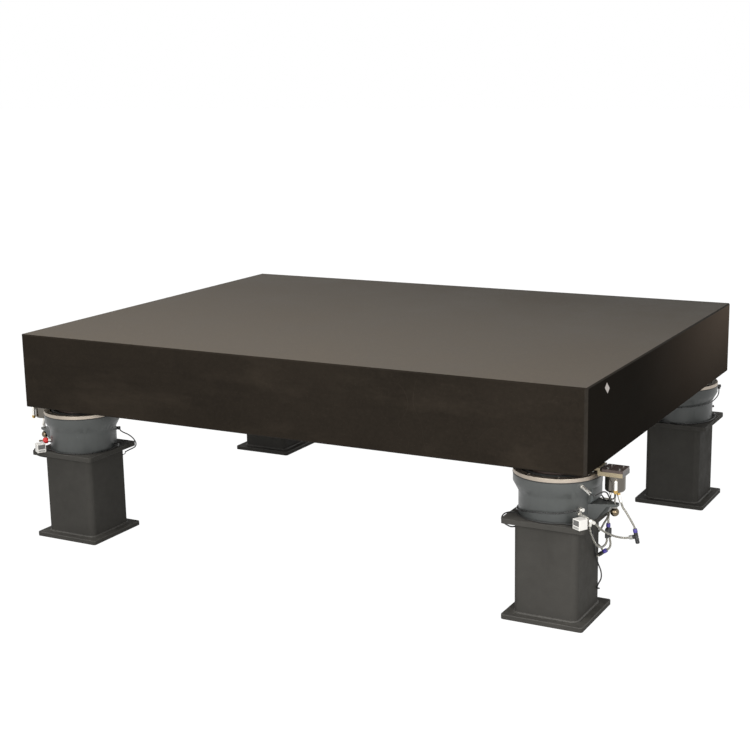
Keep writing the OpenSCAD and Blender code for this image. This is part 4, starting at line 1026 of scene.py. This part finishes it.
def make_floor():
    shape = bmesh.new()
    bmesh.ops.create_grid(shape, x_segments=2, y_segments=2, size=40)
    mesh = bpy.data.meshes.new("studio_floor")
    shape.to_mesh(mesh)
    shape.free()
    look = bpy.data.materials.new("studio_floor")
    look.use_nodes = True
    tree = look.node_tree
    tree.nodes.clear()
    matt = add_node(tree, "BsdfDiffuse", {"Color": (0.45, 0.45, 0.44)})
    white = add_node(tree, "Emission", {"Color": (1.0, 1.0, 1.0), "Strength": 1.16})
    show_white(tree, "OutputMaterial", matt["BSDF"], white["Emission"], 0.88)
    mesh.materials.append(look)
    floor = bpy.data.objects.new("studio_floor", mesh)
    floor.location.z = -0.0005
    bpy.context.collection.objects.link(floor)


def area_light(name, place, aim, size, watts, color):
    data = bpy.data.lights.new(name, "AREA")
    data.shape = "RECTANGLE"
    data.size, data.size_y = size
    data.energy = watts
    data.color = color
    lamp = bpy.data.objects.new(name, data)
    lamp.location = place
    lamp.rotation_euler = (Vector(aim) - Vector(place)).to_track_quat("-Z", "Y").to_euler()
    bpy.context.collection.objects.link(lamp)


def make_light():
    world = bpy.data.worlds.new("studio")
    bpy.context.scene.world = world
    world.use_nodes = True
    tree = world.node_tree
    tree.nodes.clear()
    room = add_node(tree, "Background", {"Color": (1.0, 0.99, 0.975), "Strength": 0.26})
    white = add_node(tree, "Background", {"Color": (1.0, 1.0, 1.0), "Strength": 1.0})
    show_white(tree, "OutputWorld", room["Background"], white["Background"], 1.0)
    area_light("overhead_softbox", (-0.5, -1.5, 3.3), (-0.1, -0.5, 0.7), (2.6, 2.0), 50, (1.0, 0.98, 0.95))
    area_light("front_softbox", (0.4, -5.0, 1.7), (0.3, -0.6, 0.35), (4.0, 2.0), 108, (1.0, 0.99, 0.97))
    area_light("right_softbox", (2.35, -2.1, 0.95), (0.95, -0.6, 0.25), (0.8, 0.8), 23, (1.0, 0.99, 0.97))


make_camera()
make_light()
make_floor()
make_slab()
make_diamond_plate()
make_welds()

for leg in LEGS:
    dress("base_plate_" + leg, "leg_paint", "leg_edge_painted_highlight", 0.0015, 3)
    dress("leg_tube_" + leg, "leg_paint")
    dress("head_plate_" + leg, "leg_paint", "leg_edge_painted_highlight", 0.0015, 3)
    dress("isolator_pot_" + leg, "pot_paint", "pot_edge_painted_highlight", 0.0007, foot=0.0028)
    dress("clamp_ring_" + leg, "ring_metal", width=0.0004)
    dress("piston_" + leg, "dark_anodised", width=0.0004)
for leg in VALVE_LEGS:
    dress("valve_bracket_" + leg, "pot_paint", "pot_edge_painted_highlight")
    make_bracket_boss(leg)
    dress("height_knob_" + leg, "knob_brass", width=0.0005)

for node, look in {
        "damping_plates": "bare_steel", "stop_rings": "bare_steel", "diaphragms": "black_rubber",
        "piston_retainers": "bare_steel", "load_pads": "black_rubber", "valve_heads": "dark_anodised",
        "valve_cylinders": "valve_chrome", "sensing_pins": "bare_steel", "lock_nuts": "bare_steel",
        "switch_cases": "white_plastic", "switch_displays": "display_window",
        "keypad_fl": "key_grey", "keypad_fr": "key_grey", "isolator_screws": "dark_steel"}.items():
    dress(node, look, width=SMALL_EDGE)
dress("valve_screws", "screw_steel", width=SMALL_EDGE, socket=(4.15, 4.6, 1.6))
# The bar ends are painted shade in dark steel.
dress("hanger_bars", "hanger_zinc", width=SMALL_EDGE, other="dark_steel", takes=is_bar_end)
dress("pot_fittings", "nickel", width=SMALL_EDGE, other="black_plastic", takes=is_black_elbow)
dress("valve_ports", "nickel", width=SMALL_EDGE, other="port_brass", takes=is_brass_end)
dress_parts("tube_unions_fr", "black_plastic",
            {"y_union": on_head("fr", (145, 26, -44)), "straight_union": on_head("fr", (127, 30, -114))})
make_collars()
make_tee()
make_bleed_knob()
make_diaphragm_rims()
dress_parts("cable_plugs", "black_plastic",
            {"plug_fr": on_head("fr", (20, 111, PLUG_Z)), "plug_fl": on_head("fl", (0, 111, PLUG_Z))})

for node, slot, stiffness, cords in CORDS:
    for name, far_end, lay in cords:
        make_cord(name, node, slot)

bpy.context.scene.view_settings.view_transform = "Standard"
